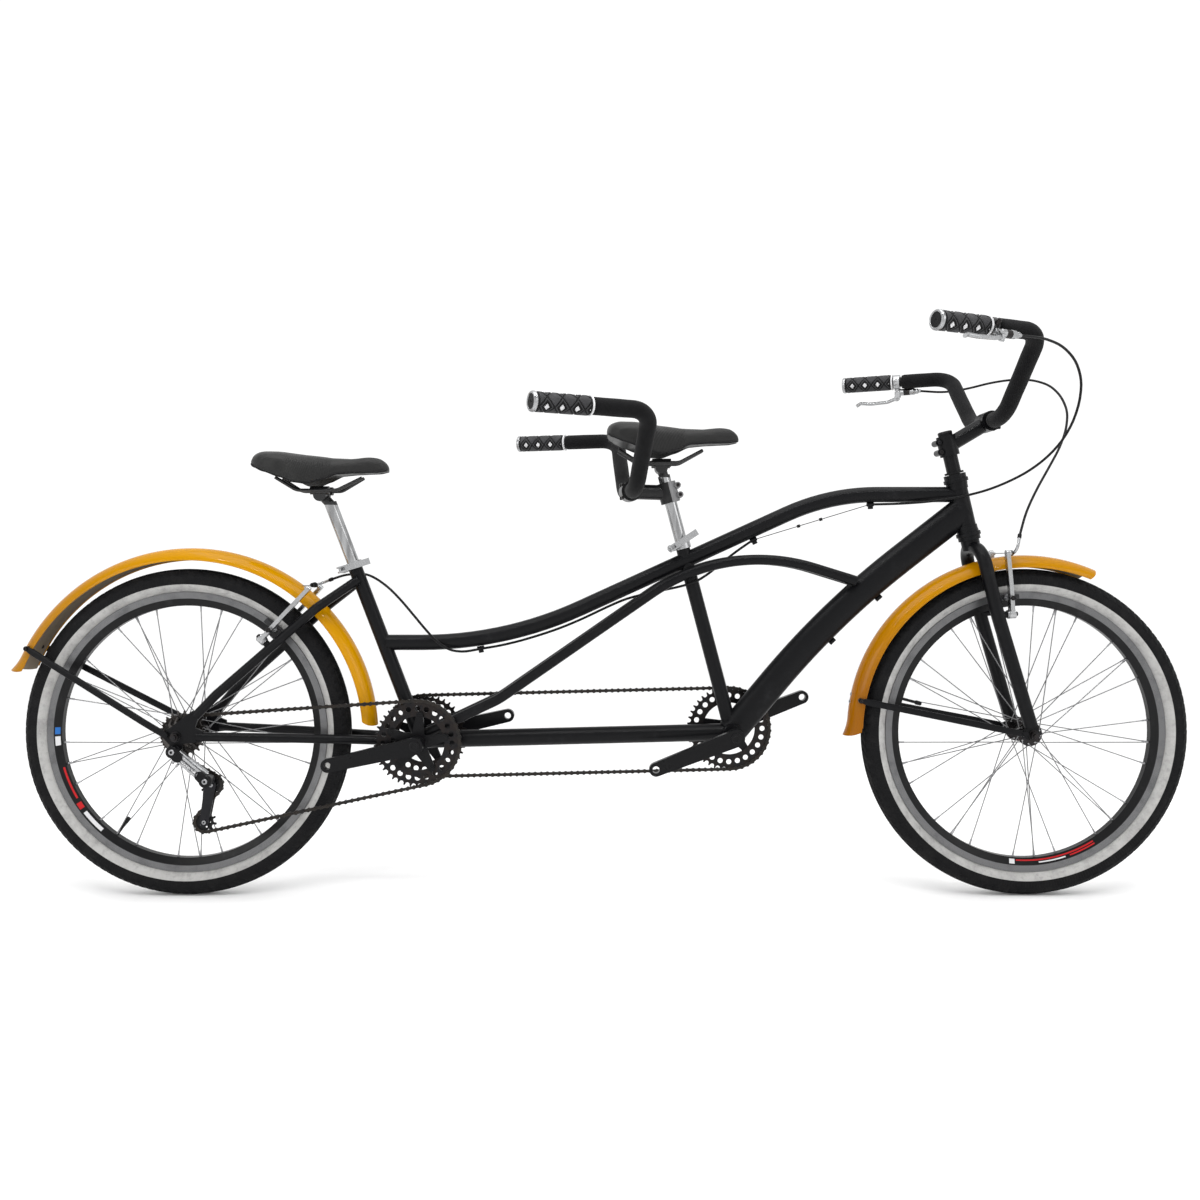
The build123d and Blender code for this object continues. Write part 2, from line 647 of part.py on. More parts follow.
# ---- derailleur: fixed body, sprung cage ----
hanger = rear_hub + Vector(-1, 0, -27.5)
with BuildPart() as derailleur_body:
    bar(hanger + Vector(0, -80, 0), hanger + Vector(0, -72.6, 0), 10.5)
    bar(hanger + Vector(0, -73, 0), hanger + Vector(0, -67.2, 0), 4.9)
    bar(hanger + Vector(0, -83, 0), hanger + Vector(0, -80, 0), 6.5)
    for lift in (0, 1):
        near = hanger + Vector(7 + 5 * lift, -79.4, -8 + 9 * lift)
        far = cage_pivot + Vector(-2 + 3 * lift, -8, 9 + 5 * lift)
        with BuildSketch(Plane(origin=near, x_dir=(0, 1, 0), z_dir=far - near)) as strap:
            RectangleRounded(12, 5, 1.5)
        extrude(to_extrude=strap.sketch, amount=(far - near).length)
    bar(cage_pivot + Vector(0, -14, 0), cage_pivot + Vector(0, 6.6, 0), 11.0)
    bar(cage_pivot + Vector(0, 6, 0), cage_pivot + Vector(0, 9.4, 0), 4.0)
write(derailleur_body, "derailleur_body")

with BuildPart() as derailleur_cage:
    for y in (-chain_y - 5.9, -chain_y + 3.9):
        with BuildSketch(side_plane(guide_centre, y)) as cheek:
            with BuildSketch(mode=Mode.PRIVATE) as ends:
                Circle(10)
                with Locations((tension_centre.X - guide_centre.X, tension_centre.Z - guide_centre.Z)):
                    Circle(9)
                with Locations((cage_pivot.X - guide_centre.X, cage_pivot.Z - guide_centre.Z)):
                    Circle(9)
            make_hull(ends.edges())
            if y < -chain_y:
                with Locations((cage_pivot.X - guide_centre.X, cage_pivot.Z - guide_centre.Z)):
                    Circle(4.05, mode=Mode.SUBTRACT)
        extrude(to_extrude=cheek.sketch, amount=-2)
    for centre in (guide_centre, tension_centre):
        start = Vector(centre.X, -chain_y - 6.3, centre.Z)
        bar(start, Vector(centre.X, -chain_y + 6.5, centre.Z), 3.0)
write(derailleur_cage, "derailleur_cage")


# ---- fenders ----
def fender(centre, crown, first, last, flare_end, name):
    """A rolled sheet mudguard round a wheel, from one angle to another, flared at its lower end."""
    half_wide, deep, sheet = 31.0, 24.0, 1.6
    way = Vector(cos(radians(first)), 0, sin(radians(first)))
    with BuildPart() as made:
        with BuildSketch(Plane(origin=centre, x_dir=way, z_dir=Vector(0, 1, 0).cross(way) * -1)) as profile:
            with BuildLine():
                outer = ThreePointArc((crown - deep, -half_wide), (crown, 0), (crown - deep, half_wide))
                tip = Line(outer @ 1, outer @ 1 + Vector(0, -sheet))
                inner = ThreePointArc((crown - deep, half_wide - sheet), (crown - sheet, 0),
                                      (crown - deep, sheet - half_wide))
                Line(inner @ 1, outer @ 0)
            make_face()
        revolve(axis=Axis(origin=centre, direction=(0, -1, 0)), revolution_arc=last - first)
        end = radians(flare_end)
        place = centre + Vector((crown - 2.5) * cos(end), 0, (crown - 2.5) * sin(end))
        down = Vector(-sin(end), 0, cos(end)) * (1 if flare_end == last else -1)
        outward = Vector(cos(end), 0, sin(end))
        drop = down * 26 + outward * 9
        normal = drop.cross(Vector(0, 1, 0)).normalized()
        with BuildSketch(Plane(origin=place + drop * 0.5, x_dir=(0, 1, 0), z_dir=normal)) as flap:
            RectangleRounded(46, drop.length, 9)
        extrude(to_extrude=flap.sketch, amount=0.8, both=True)
    write(made, name)


front_fender_crown, rear_fender_crown = 360.0, 381.0
rear_fender_centre = Vector(-835, 0, 325)
fender(front_hub, front_fender_crown, 66.5, 177, 177, "front_fender")
fender(rear_fender_centre, rear_fender_crown, 3, 156, 156, "rear_fender")


def fender_stays(centre, crown_centre, crown, angle, eye_y, eye_out, name):
    """Two wire stays from the fender's edges to eyes at the dropouts."""
    turn = radians(angle)
    hold = crown_centre + Vector((crown - 14) * cos(turn), 0, (crown - 14) * sin(turn))
    with BuildPart() as made:
        for side in (right, left):
            eye = centre + Vector(eye_out[0], side * eye_y, eye_out[1])
            top = hold + Vector(0, side * 33.1, 0)
            pipe([eye, eye + (top - eye) * 0.15 + Vector(0, side * 3, 0), top], 2.6, [60])
            bar(eye - Vector(0, side * 2.5, 0), eye + Vector(0, side * 4.5, 0), 6.0)
            bar(top - Vector(0, side * 1.5, 0), top + Vector(0, side * 3.5, 0), 5.0)
    write(made, name)


fender_stays(rear_hub, rear_fender_centre, rear_fender_crown, 151, 75.6, (-19, 3.5), "rear_fender_stays")
fender_stays(front_hub, front_hub, front_fender_crown, 169, 58.2, (-18.5, 3), "front_fender_stays")

# ---- stems and handlebars ----
stem_eye = steer_low + steer_up * 213.5
with BuildPart() as captain_stem:
    bar(steer_top - steer_up * 60, steer_top + steer_up * 0.5, 11.1)
    bar(steer_top + steer_up * 0.5, steer_top + steer_up * 5, 19)
    bar(steer_top + steer_up * 5, stem_eye + steer_up * 26, 14.3)
    bar(stem_eye - steer_up * 21, stem_eye + steer_up * 21, 19.5)
    bar(stem_eye, captain_clamp, 15.5)
    bar(captain_clamp - Vector(0, 24, 0), captain_clamp + Vector(0, 24, 0), 20.5)
    back = Vector(-steer_up.Z, 0, steer_up.X)
    for lift in (-10, 10):
        knob = stem_eye + back * 21 + steer_up * lift
        bar(knob - Vector(0, 14, 0), knob + Vector(0, 14, 0), 6.5)
        bar(knob + Vector(0, 14, 0), knob + Vector(0, 17, 0), 3.5)
        bar(knob - Vector(0, 17, 0), knob - Vector(0, 14, 0), 3.5)
    bar(captain_clamp - Vector(0, 30, 0), captain_clamp + Vector(0, 30, 0), bar_r + 1.6, mode=Mode.SUBTRACT)
write(captain_stem, "captain_stem")

stoker_axis = on_line(front_bracket, front_seat_dir, 819)


def turned(point):
    """A point of the stoker's stem and bar, turned with them about the seat post."""
    return stoker_axis + (point - stoker_axis).rotate(Axis.Z, stoker_yaw)


stoker_centre = turned(stoker_clamp)
stoker_across = Vector(0, 1, 0).rotate(Axis.Z, stoker_yaw)
with BuildPart() as stoker_stem:
    bar(stoker_axis - front_seat_dir * 21, stoker_axis + front_seat_dir * 21, 20)
    bar(stoker_axis, stoker_centre, 15.5)
    bar(stoker_centre - stoker_across * 24, stoker_centre + stoker_across * 24, 20.5)
    ahead = Vector(front_seat_dir.Z, 0, -front_seat_dir.X)
    for lift in (-10, 10):
        knob = stoker_axis + ahead * 22 + front_seat_dir * lift
        bar(knob - Vector(0, 14, 0), knob + Vector(0, 14, 0), 6.5)
        bar(knob + Vector(0, 14, 0), knob + Vector(0, 17, 0), 3.5)
        bar(knob - Vector(0, 17, 0), knob - Vector(0, 14, 0), 3.5)
    clamp_way = stoker_across * 30
    bar(stoker_centre - clamp_way, stoker_centre + clamp_way, bar_r + 1.6, mode=Mode.SUBTRACT)
    bar(stoker_axis - front_seat_dir * 30, stoker_axis + front_seat_dir * 30, post_r, mode=Mode.SUBTRACT)
write(stoker_stem, "stoker_stem")

# a swept bar: out from the clamp, up to a corner, and back along the grip
bar_inner, bar_corner = (0, 88, 0), (4, 250, 131)
bar_tip = {"captain": (-214, 350, 131), "stoker": (-214, 340, 131)}
bar_bends, grip_long, bar_bore = [110, 52], 113.0, 9.4


def half_bar(rider, side):
    """The right or left half of a bar, from its middle to its tip."""
    points = [Vector(x, side * y, z) for x, y, z in ((0, 0, 0), bar_inner, bar_corner, bar_tip[rider])]
    if rider == "captain":
        return [captain_clamp + p for p in points]
    return [turned(stoker_clamp + p) for p in points]


def along_grip(rider, side, back):
    """A point on the grip's centre line, so far from the bar's corner, and the line's direction."""
    corner, tip = half_bar(rider, side)[2:]
    way = (tip - corner).normalized()
    return corner + way * back, way


grip_start = (half_bar("captain", right)[3] - half_bar("captain", right)[2]).length - grip_long
perch_back = grip_start - 9.0
for rider in ("captain", "stoker"):
    with BuildPart() as handlebar:
        far, near = half_bar(rider, left), half_bar(rider, right)
        pipe(far[:0:-1] + near[1:], bar_r, bar_bends[::-1] + bar_bends, bore=bar_bore)
        across = (far[1] - near[1]).normalized()
        bar(near[0] - across * 28, near[0] + across * 28, bar_r + 1.55, bore=bar_r - 0.5)
    write(handlebar, f"{rider}_handlebar")

    with BuildPart() as grips:
        for side in (right, left):
            half = half_bar(rider, side)
            leg = (half[3] - half[2]).length
            start = leg - grip_long
            foam_end = along_grip(rider, side, start - (20 if rider == "captain" else 1))[0]
            clamp_side = half[0] + (half[1] - half[0]).normalized() * 29
            pipe([clamp_side, half[1], half[2], foam_end], foam_r, bar_bends, bore=bar_r + 0.05)
            inner, way = along_grip(rider, side, start)
            outer = half[3]
            bar(inner, outer + way * 0.5, grip_r, bore=bar_r + 0.05)
            bar(inner, inner + way * 4, grip_r + 1.6, bore=bar_r + 0.05)
            bar(outer - way * 4, outer + way * 0.5, grip_r + 1.6, bore=bar_r + 0.05)
            bar(outer + way * 0.5, outer + way * 3.5, grip_r + 0.4)
    write(grips, f"{rider}_grips")

# ---- brake levers and perches ----
lever_drop = {right: 40.0, left: 75.0}
lever_names = {right: "right", left: "left"}
body_off, pivot_off, pivot_back, lever_pin_r = 24.0, 37.5, 2.0, 3.0


def lever_frame(side):
    """A lever's mount on the bar, the ways back along the grip and out to the lever, and its pin's way."""
    place, back = along_grip("captain", side, perch_back)
    outward = (Vector(0, side, 0) - back * (side * back.Y)).normalized()
    drop = radians(lever_drop[side])
    out = outward * cos(drop) + Vector(0, 0, -1) * sin(drop)
    return place, back, out, back.cross(out)


with BuildPart() as brake_perches:
    for side in (right, left):
        place, back, out, pin = lever_frame(side)
        bar(place - back * 6.5, place + back * 6.5, 16.5)
        bar(place, place + out * (body_off + 3), 6.4)
        bar(place + out * body_off - back * 40, place + out * body_off + back * 4, 6.5)
        bar(place + out * body_off - back * 46, place + out * body_off - back * 40, 5.2)
        bar(place + out * body_off - back * 52, place + out * body_off - back * 46, 3.8)
        hinge = place + out * pivot_off + back * pivot_back
        for way in (1, -1):
            with BuildSketch(Plane(origin=hinge + pin * (way * 4.4), x_dir=back, z_dir=pin * way)) as ear:
                RectangleRounded(12, 12, 4)
                with Locations((-2, (-1 if way > 0 else 1) * 8)):
                    Rectangle(12, 14)
            extrude(to_extrude=ear.sketch, amount=2.4)
        bar(hinge - pin * 7.4, hinge + pin * 7.4, lever_pin_r)
        bar(place - back * 60, place + back * 8, bar_r + 0.05, mode=Mode.SUBTRACT)
write(brake_perches, "brake_perches")

for side in (right, left):
    place, back, out, pin = lever_frame(side)
    hinge = place + out * pivot_off + back * pivot_back
    with BuildPart() as lever:
        bar(hinge - pin * 4.1, hinge + pin * 4.1, 6.2)
        blade = [hinge, hinge + back * 22 + out * 8, hinge + back * 62 + out * 10,
                 hinge + back * 84 + out * 7, hinge + back * 94 + out * 13]
        pipe(blade, 4.0, [20, 60, 9])
        bar(hinge - pin * 8, hinge + pin * 8, lever_pin_r + 0.05, mode=Mode.SUBTRACT)
    write(lever, f"brake_lever_{lever_names[side]}")
    print("lever", lever_names[side], "hinge", hinge, "axis", -pin, "out", out, "back", back)

# ---- linear-pull brake arms ----
arm_long = {"front": 123.0, "rear": 137.0}
pad_up = {"front": 33.0, "rear": 26.5}


def brake_arm(name, side, pivot, arm_y, up, out):
    """One brake arm with its shoe, on a frame boss; closed round the rim by a small turn."""
    foot = pivot + Vector(0, side * arm_y, 0)
    with BuildPart() as arm:
        bar(foot - out * 6.5, foot + out * 6.5, 9)
        sideways = Vector(0, side, 0)
        with BuildSketch(Plane(origin=foot, x_dir=sideways, z_dir=sideways.cross(up))) as outline:
            for (x0, y0, r0), (x1, y1, r1) in (((0, 0, 9), (4, 55, 7)), ((4, 55, 7), (1, arm_long[name], 6))):
                with BuildSketch(mode=Mode.PRIVATE) as ends:
                    with Locations((x0, y0)):
                        Circle(r0)
                    with Locations((x1, y1)):
                        Circle(r1)
                make_hull(ends.edges())
        extrude(to_extrude=outline.sketch, amount=4, both=True)
        top = foot + up * (arm_long[name] - 1) + Vector(0, side, 0)
        bar(top, top + out * 7.6, 3.6)
        shoe = pivot + up * pad_up[name] + Vector(0, side * (12.5 + brake_gap + 4), 0)
        with Locations(Plane(origin=shoe, x_dir=out, z_dir=up)):
            Box(52, 8, 9)
        bar(shoe, Vector(shoe.X, side * (arm_y + 15), shoe.Z), 3)
        bar(shoe + Vector(0, side * 4, 0), shoe + Vector(0, side * 9, 0), 6.5)
        end = Vector(shoe.X, side * (arm_y + 10), shoe.Z)
        bar(end, end + Vector(0, side * 6, 0), 5)
        bar(foot - out * 10, foot + out * 9, brake_r + 0.05, mode=Mode.SUBTRACT)
    write(arm, f"{name}_brake_arm_{lever_names[side]}")


for side in (right, left):
    brake_arm("front", side, front_pivot, front_arm_y, front_arm_up, front_arm_out)
    brake_arm("rear", side, rear_pivot, rear_arm_y, rear_arm_up, rear_arm_out)

# ---- brake cables ----
perch_exit = {}
for side in (right, left):
    place, back, out, pin = lever_frame(side)
    perch_exit[side] = (place + out * body_off - back * 52, -back)
    print("cable exit", lever_names[side], perch_exit[side])


def cable_top(name, pivot, up, out):
    """Where the bare wire crosses between the arms' tops."""
    return pivot + up * (arm_long[name] - 1) + out * 11


def straddle(point, side, lead_in):
    """The curved noodle, bare wire and rubber boot across a brake, entered from one side."""
    elbow = Vector(point.X, side * 66, point.Z)
    pipe([lead_in, elbow, Vector(point.X, side * 38, point.Z)], housing_r, [14])
    bar(Vector(point.X, side * 38, point.Z), Vector(point.X, side * 12, point.Z), 4.0)
    bar(Vector(point.X, side * 12, point.Z), Vector(point.X, -side * 56, point.Z), wire_r)


front_top = cable_top("front", front_pivot, front_arm_up, front_arm_out)
rear_top = cable_top("rear", rear_pivot, rear_arm_up, rear_arm_out)
front_lead, rear_lead = Vector(840, -48, 730), Vector(-562, 50, 641)

exit_at, exit_way = perch_exit[left]
front_route = [exit_at + exit_way * 0.1] + [Vector(p) for p in (
    (788, 262, 1065), (834, 240, 1070), (876, 210, 1079), (914, 179, 1081), (947, 150, 1075),
    (971, 121, 1059), (984, 95, 1032), (988, 71, 996), (976, 50, 955), (955, 34, 914), (926, 18, 872),
    (893, -1, 826), (862, -24, 778))] + [front_lead]
with BuildPart() as front_brake_cable:
    pipe(front_route, housing_r, cord_bends(front_route))
    straddle(front_top, right, front_lead)
write(front_brake_cable, "front_brake_cable")

exit_at, exit_way = perch_exit[right]
lever_route = [exit_at + exit_way * 0.1] + [Vector(p) for p in (
    (797, -268, 1081), (842, -243, 1072), (878, -217, 1050), (901, -190, 1018), (910, -161, 981),
    (909, -132, 944), (898, -106, 910), (878, -82, 881), (851, -62, 857), (818, -46, 838),
    (780, -34, 822), (738, -27.5, 811), (694, -24, 803), (650, -16, 798.5), (606, -4, 796.2),
    (552, 0, 795.2))]
tail_route = [Vector(p) for p in (
    (313, 0, 722.5), (284, -2, 703), (252, -5, 679), (222, -11, 654), (192, -20, 636), (156, -18, 626),
    (122, -9, 619), (88, -2, 611.5), (50, 0, 601.2), (10, 0, 583.4), (-35, 0, 561.6), (-78, 0, 543.5),
    (-120, 0, 529), (-165, 0, 515.6), (-206, 0, 506), (-245, 0, 499.8), (-278, -9, 494), (-306, -21, 499),
    (-330, -25.5, 516), (-352, -26, 540), (-376, -26, 569), (-401, -26, 599), (-427, -22, 625),
    (-453, -9, 642), (-473, 9, 650), (-489, 25, 653), (-509, 34, 653), (-534, 41, 650))] + [rear_lead]
wire_points = [lever_route[-1], tail_route[0]]
donut_r = 3.2
with BuildPart() as rear_brake_cable:
    pipe(lever_route, housing_r, cord_bends(lever_route))
    pipe(tail_route, housing_r, cord_bends(tail_route))
    bar(*wire_points, wire_r)
    for share in (0.42, 0.61):
        span = wire_points[1] - wire_points[0]
        middle, way = wire_points[0] + span * share, span.normalized()
        bar(middle - way * 3, middle + way * 3, donut_r, bore=wire_r + 0.02)
    straddle(rear_top, left, rear_lead)
write(rear_brake_cable, "rear_brake_cable")

# ---- seat posts, saddles, seat clamp levers ----
post_head = {"rear": Vector(-569, 0, 814), "front": Vector(125, 0, 870)}
saddle_tail = {"rear": -701.0, "front": 14.0}
saddle_floor = {"rear": 853.0, "front": 913.0}
saddle_long, saddle_half, saddle_thick, nose_half = 270.0, 76.0, 37.0, 19.0
seats = {
    "rear": (rear_bracket, rear_seat_dir, rear_collar),
    "front": (front_bracket, front_seat_dir, front_collar),
}

for name, (bracket, way, collar) in seats.items():
    head = post_head[name]
    with BuildPart() as seatpost:
        below_head = on_line(bracket, way, head.Z - 16)
        bar(collar - way * 150, below_head, post_r, bore=post_r - 1.8)
        bar(below_head - way * 3, below_head, post_r)
        bar(below_head - way * 4, head, 10)
        bar(head - Vector(0, 21, 0), head + Vector(0, 21, 0), 13)
        for side in (right, left):
            rail = [head + Vector(-88, side * 26, 35), head + Vector(-46, side * 22, 9),
                    head + Vector(36, side * 22, 9), head + Vector(84, side * 9, 35)]
            pipe(rail, 3.5, [30, 24])
            washer = head + Vector(0, side * 16, 9)
            bar(washer - Vector(19, 0, 0), washer + Vector(19, 0, 0), 8.5)
    write(seatpost, f"{name}_seatpost")

    with BuildPart() as saddle:
        tail, floor = saddle_tail[name], saddle_floor[name]
        with BuildSketch(Plane.XY.offset(floor)) as outline:
            with BuildSketch(mode=Mode.PRIVATE) as ends:
                for side in (right, left):
                    with Locations((tail + 52, side * (saddle_half - 50))):
                        Circle(50)
                with Locations((tail + saddle_long - nose_half, 0)):
                    Circle(nose_half)
            make_hull(ends.edges())
        extrude(to_extrude=outline.sketch, amount=saddle_thick)
        fillet(saddle.faces().sort_by(Axis.Z)[-1].edges(), 12)
    write(saddle, f"{name}_saddle")

qr_way = {"rear": Vector(0.955, 0, 0.296).normalized(), "front": Vector(0.837, 0, 0.547).normalized()}
cam_y, cam_pin_r = -26.0, 2.1
skewers = {}
for name, (bracket, way, collar) in seats.items():
    back = Vector(-way.Z, 0, way.X)
    hole = collar - way * 7 + back * 24
    cam = hole + Vector(0, cam_y, 0)
    reach = qr_way[name]
    pin = Vector(reach.Z, 0, -reach.X)
    skewers[name] = (hole, cam, pin)
    with BuildPart() as lever:
        for low in (-6.4, 3.2):
            with BuildSketch(Plane(origin=cam + pin * low, x_dir=reach, z_dir=pin)) as cheek:
                with BuildSketch(mode=Mode.PRIVATE) as ends:
                    Circle(6.5)
                    with Locations((18, 0)):
                        Circle(3)
                make_hull(ends.edges())
            extrude(to_extrude=cheek.sketch, amount=3.2)
        with BuildSketch(Plane(origin=cam, x_dir=reach, z_dir=pin)) as blade:
            with BuildLine():
                Polyline((10, -2.5), (30, -4.5), (62, -1.5), (62, 2), (30, -0.5), (10, 2.5), close=True)
            make_face()
        extrude(to_extrude=blade.sketch, amount=6.4, both=True)
        bar(cam - pin * 9, cam + pin * 9, cam_pin_r + 0.05, mode=Mode.SUBTRACT)
    write(lever, f"{name}_qr_lever")
    print("seat lever", name, "hinge", cam, "axis", pin)

with BuildPart() as seat_clamps:
    for name, (bracket, way, collar) in seats.items():
        hole, cam, pin = skewers[name]
        back = Vector(-way.Z, 0, way.X)
        bar(collar - way * 14, collar, 17.6)
        for side in (right, left):
            ear_root = Vector(hole.X, side * 4, hole.Z)
            with BuildSketch(Plane(origin=ear_root, x_dir=back, z_dir=(0, side, 0))) as ear:
                with Locations((-4, 0)):
                    RectangleRounded(19, 14, 4)
                Circle(2.7, mode=Mode.SUBTRACT)
            extrude(to_extrude=ear.sketch, amount=6)
        bar(collar - way * 16, collar + way * 2, seat_tube_r, mode=Mode.SUBTRACT)
    for hole, cam, pin in skewers.values():
        bar(cam, hole + Vector(0, 17, 0), 2.5)
        bar(hole + Vector(0, 10.2, 0), hole + Vector(0, 17, 0), 6)
        bar(hole + Vector(0, -16, 0), hole + Vector(0, -10.2, 0), 6)
        bar(cam - pin * 6.4, cam + pin * 6.4, cam_pin_r)
write(seat_clamps, "seat_clamps")
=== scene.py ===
from math import atan, ceil, copysign, cos, degrees, floor, pi, radians, sin, tan

import bmesh
import bpy
import numpy as np
from mathutils import Matrix, Vector, noise


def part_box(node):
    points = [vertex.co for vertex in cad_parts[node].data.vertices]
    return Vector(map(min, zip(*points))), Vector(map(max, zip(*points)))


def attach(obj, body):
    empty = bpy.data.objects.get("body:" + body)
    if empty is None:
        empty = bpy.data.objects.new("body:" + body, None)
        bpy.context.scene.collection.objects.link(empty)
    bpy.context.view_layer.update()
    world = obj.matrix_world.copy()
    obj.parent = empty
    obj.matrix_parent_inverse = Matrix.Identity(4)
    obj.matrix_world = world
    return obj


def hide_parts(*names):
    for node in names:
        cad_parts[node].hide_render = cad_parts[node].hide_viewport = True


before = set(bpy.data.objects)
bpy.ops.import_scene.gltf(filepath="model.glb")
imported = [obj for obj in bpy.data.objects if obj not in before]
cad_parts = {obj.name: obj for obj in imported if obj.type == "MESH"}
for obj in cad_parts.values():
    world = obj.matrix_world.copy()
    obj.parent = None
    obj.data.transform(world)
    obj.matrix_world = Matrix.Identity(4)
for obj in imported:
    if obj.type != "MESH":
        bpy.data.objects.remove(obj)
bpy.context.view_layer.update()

# A tandem cruiser bicycle. Metres; +X forward, +Y the rider's left, +Z up.
def vec(x, y, z):
    return Vector((x, y, z))


FRONT_HUB = vec(0.8657, 0, 0.3315)
REAR_HUB = vec(-0.840, 0, 0.3315)
SIDES = {"right": -1, "left": 1}
Y = vec(0, 1, 0)
ALLOY = (0.40, 0.404, 0.41)
MM = 0.001
FENDER_FRONT = (FRONT_HUB, 0.360, 66.5, 177.0)
FENDER_REAR = (vec(-0.835, 0, 0.325), 0.381, 3.0, 156.0)
TYRE_R, BRAKE_TRACK, PALE_BAND, WALL_RIBS = 0.332, (0.2712, 0.2720), (0.2845, 0.3008), (0.3030, 0.3130)
STAY_EYE = {"front": FRONT_HUB + vec(-0.0185, 0.0582, 0.0030),
            "rear": REAR_HUB + vec(-0.0190, 0.0756, 0.0035)}


# ---- camera ----
def camera():
    data = bpy.data.cameras.new("camera")
    data.sensor_width = 36.0
    data.lens = 32.25
    data.shift_y = -0.0333
    obj = bpy.data.objects.new("camera", data)
    obj.location = (0.0, -2.2, 0.6815)
    obj.rotation_euler = (radians(90), 0, 0)
    bpy.context.scene.collection.objects.link(obj)
    bpy.context.scene.camera = obj


camera()


# ---- procedural materials ----
class Nodes:
    """A node tree built in short calls. Its patterns lie on one set of coordinates."""

    def __init__(self, tree, place):
        self.tree = tree
        self.place = self.node("TexCoord", {}).outputs[place]

    def feed(self, socket, value):
        if isinstance(value, bpy.types.NodeSocket):
            self.tree.links.new(value, socket)
        elif socket.type == "RGBA":
            socket.default_value = (*value[:3], 1.0)
        else:
            socket.default_value = value

    def node(self, kind, inputs, **settings):
        made = self.tree.nodes.new("ShaderNode" + kind)
        for key, value in settings.items():
            setattr(made, key, value)
        for key, value in inputs.items():
            self.feed(made.inputs[key], value)
        return made

    def math(self, kind, a, b=0.0, c=0.0):
        return self.node("Math", {0: a, 1: b, 2: c}, operation=kind).outputs[0]

    def times(self, a, b):
        return self.math("MULTIPLY", a, b)

    def plus(self, a, b):
        return self.math("ADD", a, b)

    def less(self, a, b):
        return self.math("SUBTRACT", a, b)

    def flip(self, value):
        return self.less(1.0, value)

    def wave(self, value, pace):
        return self.math("SINE", self.times(value, pace))

    def span(self, value, low, high):
        """A 0 to 1 value spread over a range of numbers."""
        return self.math("MULTIPLY_ADD", value, high - low, low)

    def dot(self, a, b):
        return self.node("VectorMath", {0: a, 1: b}, operation="DOT_PRODUCT").outputs["Value"]

    def noise(self, scale, detail=3.0, rough=0.5, stretch=None):
        place = self.place
        if stretch:
            place = self.node("VectorMath", {0: place, 1: stretch}, operation="MULTIPLY").outputs[0]
        inputs = {"Vector": place, "Scale": scale, "Detail": detail, "Roughness": rough}
        return self.node("TexNoise", inputs).outputs[0]

    def cells(self, scale):
        return self.node("TexVoronoi", {"Vector": self.place, "Scale": scale}).outputs["Distance"]

    def step(self, value, low, high):
        return self.node("MapRange", {"Value": value, "From Min": low, "From Max": high},
                         interpolation_type="SMOOTHSTEP").outputs["Result"]

    def patches(self, low, high, *pattern):
        """Noise cut into soft patches: 0 below low, 1 above high."""
        return self.step(self.noise(*pattern), low, high)

    def within(self, value, low, high, soft):
        return self.times(self.step(value, low - soft, low + soft),
                          self.flip(self.step(value, high - soft, high + soft)))

    def mix(self, share, a, b):
        return self.node("Mix", {0: share, 6: a, 7: b}, data_type="RGBA").outputs[2]

    def split(self):
        return self.node("SeparateXYZ", {0: self.place}).outputs

    def polar(self, centre):
        """Distance from an axle and angle round it, in degrees from forward, up being 90."""
        x, _, z = self.split()
        dx, dz = self.less(x, centre.x), self.less(z, centre.z)
        away = self.math("SQRT", self.plus(self.times(dx, dx), self.times(dz, dz)))
        return away, self.times(self.math("ARCTAN2", dz, dx), 180 / pi)


class Surface(Nodes):
    """A material on the piece's own coordinates, so that it stays put as the piece moves."""

    def __init__(self, name, rough=0.4, metal=0.0, coat=0.0, coat_rough=0.1, specular=0.5):
        self.mat = bpy.data.materials.new(name)
        self.mat.use_nodes = True
        super().__init__(self.mat.node_tree, "Object")
        self.shader = next(n for n in self.tree.nodes if n.type == "BSDF_PRINCIPLED")
        for key, value in (("Roughness", rough), ("Metallic", metal), ("Coat Weight", coat),
                           ("Coat Roughness", coat_rough), ("Specular IOR Level", specular)):
            self.put(key, value)
        self.normal = None

    def put(self, key, value):
        self.feed(self.shader.inputs[key], value)

    def colour(self, value):
        self.put("Base Color", value)

    def roughness(self, value):
        self.put("Roughness", value)

    def metallic(self, value):
        self.put("Metallic", value)

    def bump(self, height, depth, strength):
        inputs = {"Strength": strength, "Distance": depth, "Height": height}
        if self.normal:
            inputs["Normal"] = self.normal
        self.normal = self.node("Bump", inputs).outputs["Normal"]
        self.put("Normal", self.normal)


def satin_paint(name, dark, light, rough, specular=0.13):
    """Powder coat: fine orange peel, faint dust and rubbed patches."""
    s = Surface(name, rough, specular=specular)
    dust = s.patches(0.5, 0.78, 34, 4, 0.62)
    rub = s.patches(0.42, 0.7, 7, 3, 0.55)
    s.colour(s.mix(s.times(dust, rub), dark, light))
    s.roughness(s.plus(s.span(s.noise(60, 3), rough - 0.07, rough + 0.07), s.times(rub, 0.05)))
    s.bump(s.noise(650, 2, 0.5), 0.00025, 0.35)
    return s.mat


def enamel(name, high, low, axis, start, end):
    """Gloss yellow-orange enamel with soft cloudy patches, and painted shade that darkens it towards one end
    of the mudguard.
    """
    s = Surface(name, 0.2, coat=0.22, coat_rough=0.04, specular=0.06)
    # Painted shade: the colour darkens from high to low towards one end, along the given axis.
    painted_shade = s.flip(s.step(s.split()[axis], start, end))
    cloud = s.patches(0.45, 0.8, 7, 3, 0.55)
    colour = s.mix(painted_shade, high, low)
    s.colour(s.mix(s.times(cloud, 0.22), colour, tuple(c * 0.82 for c in high)))
    s.roughness(s.span(s.noise(45, 4, 0.65), 0.13, 0.25))
    s.bump(s.noise(500, 2), 0.0001, 0.2)
    return s.mat


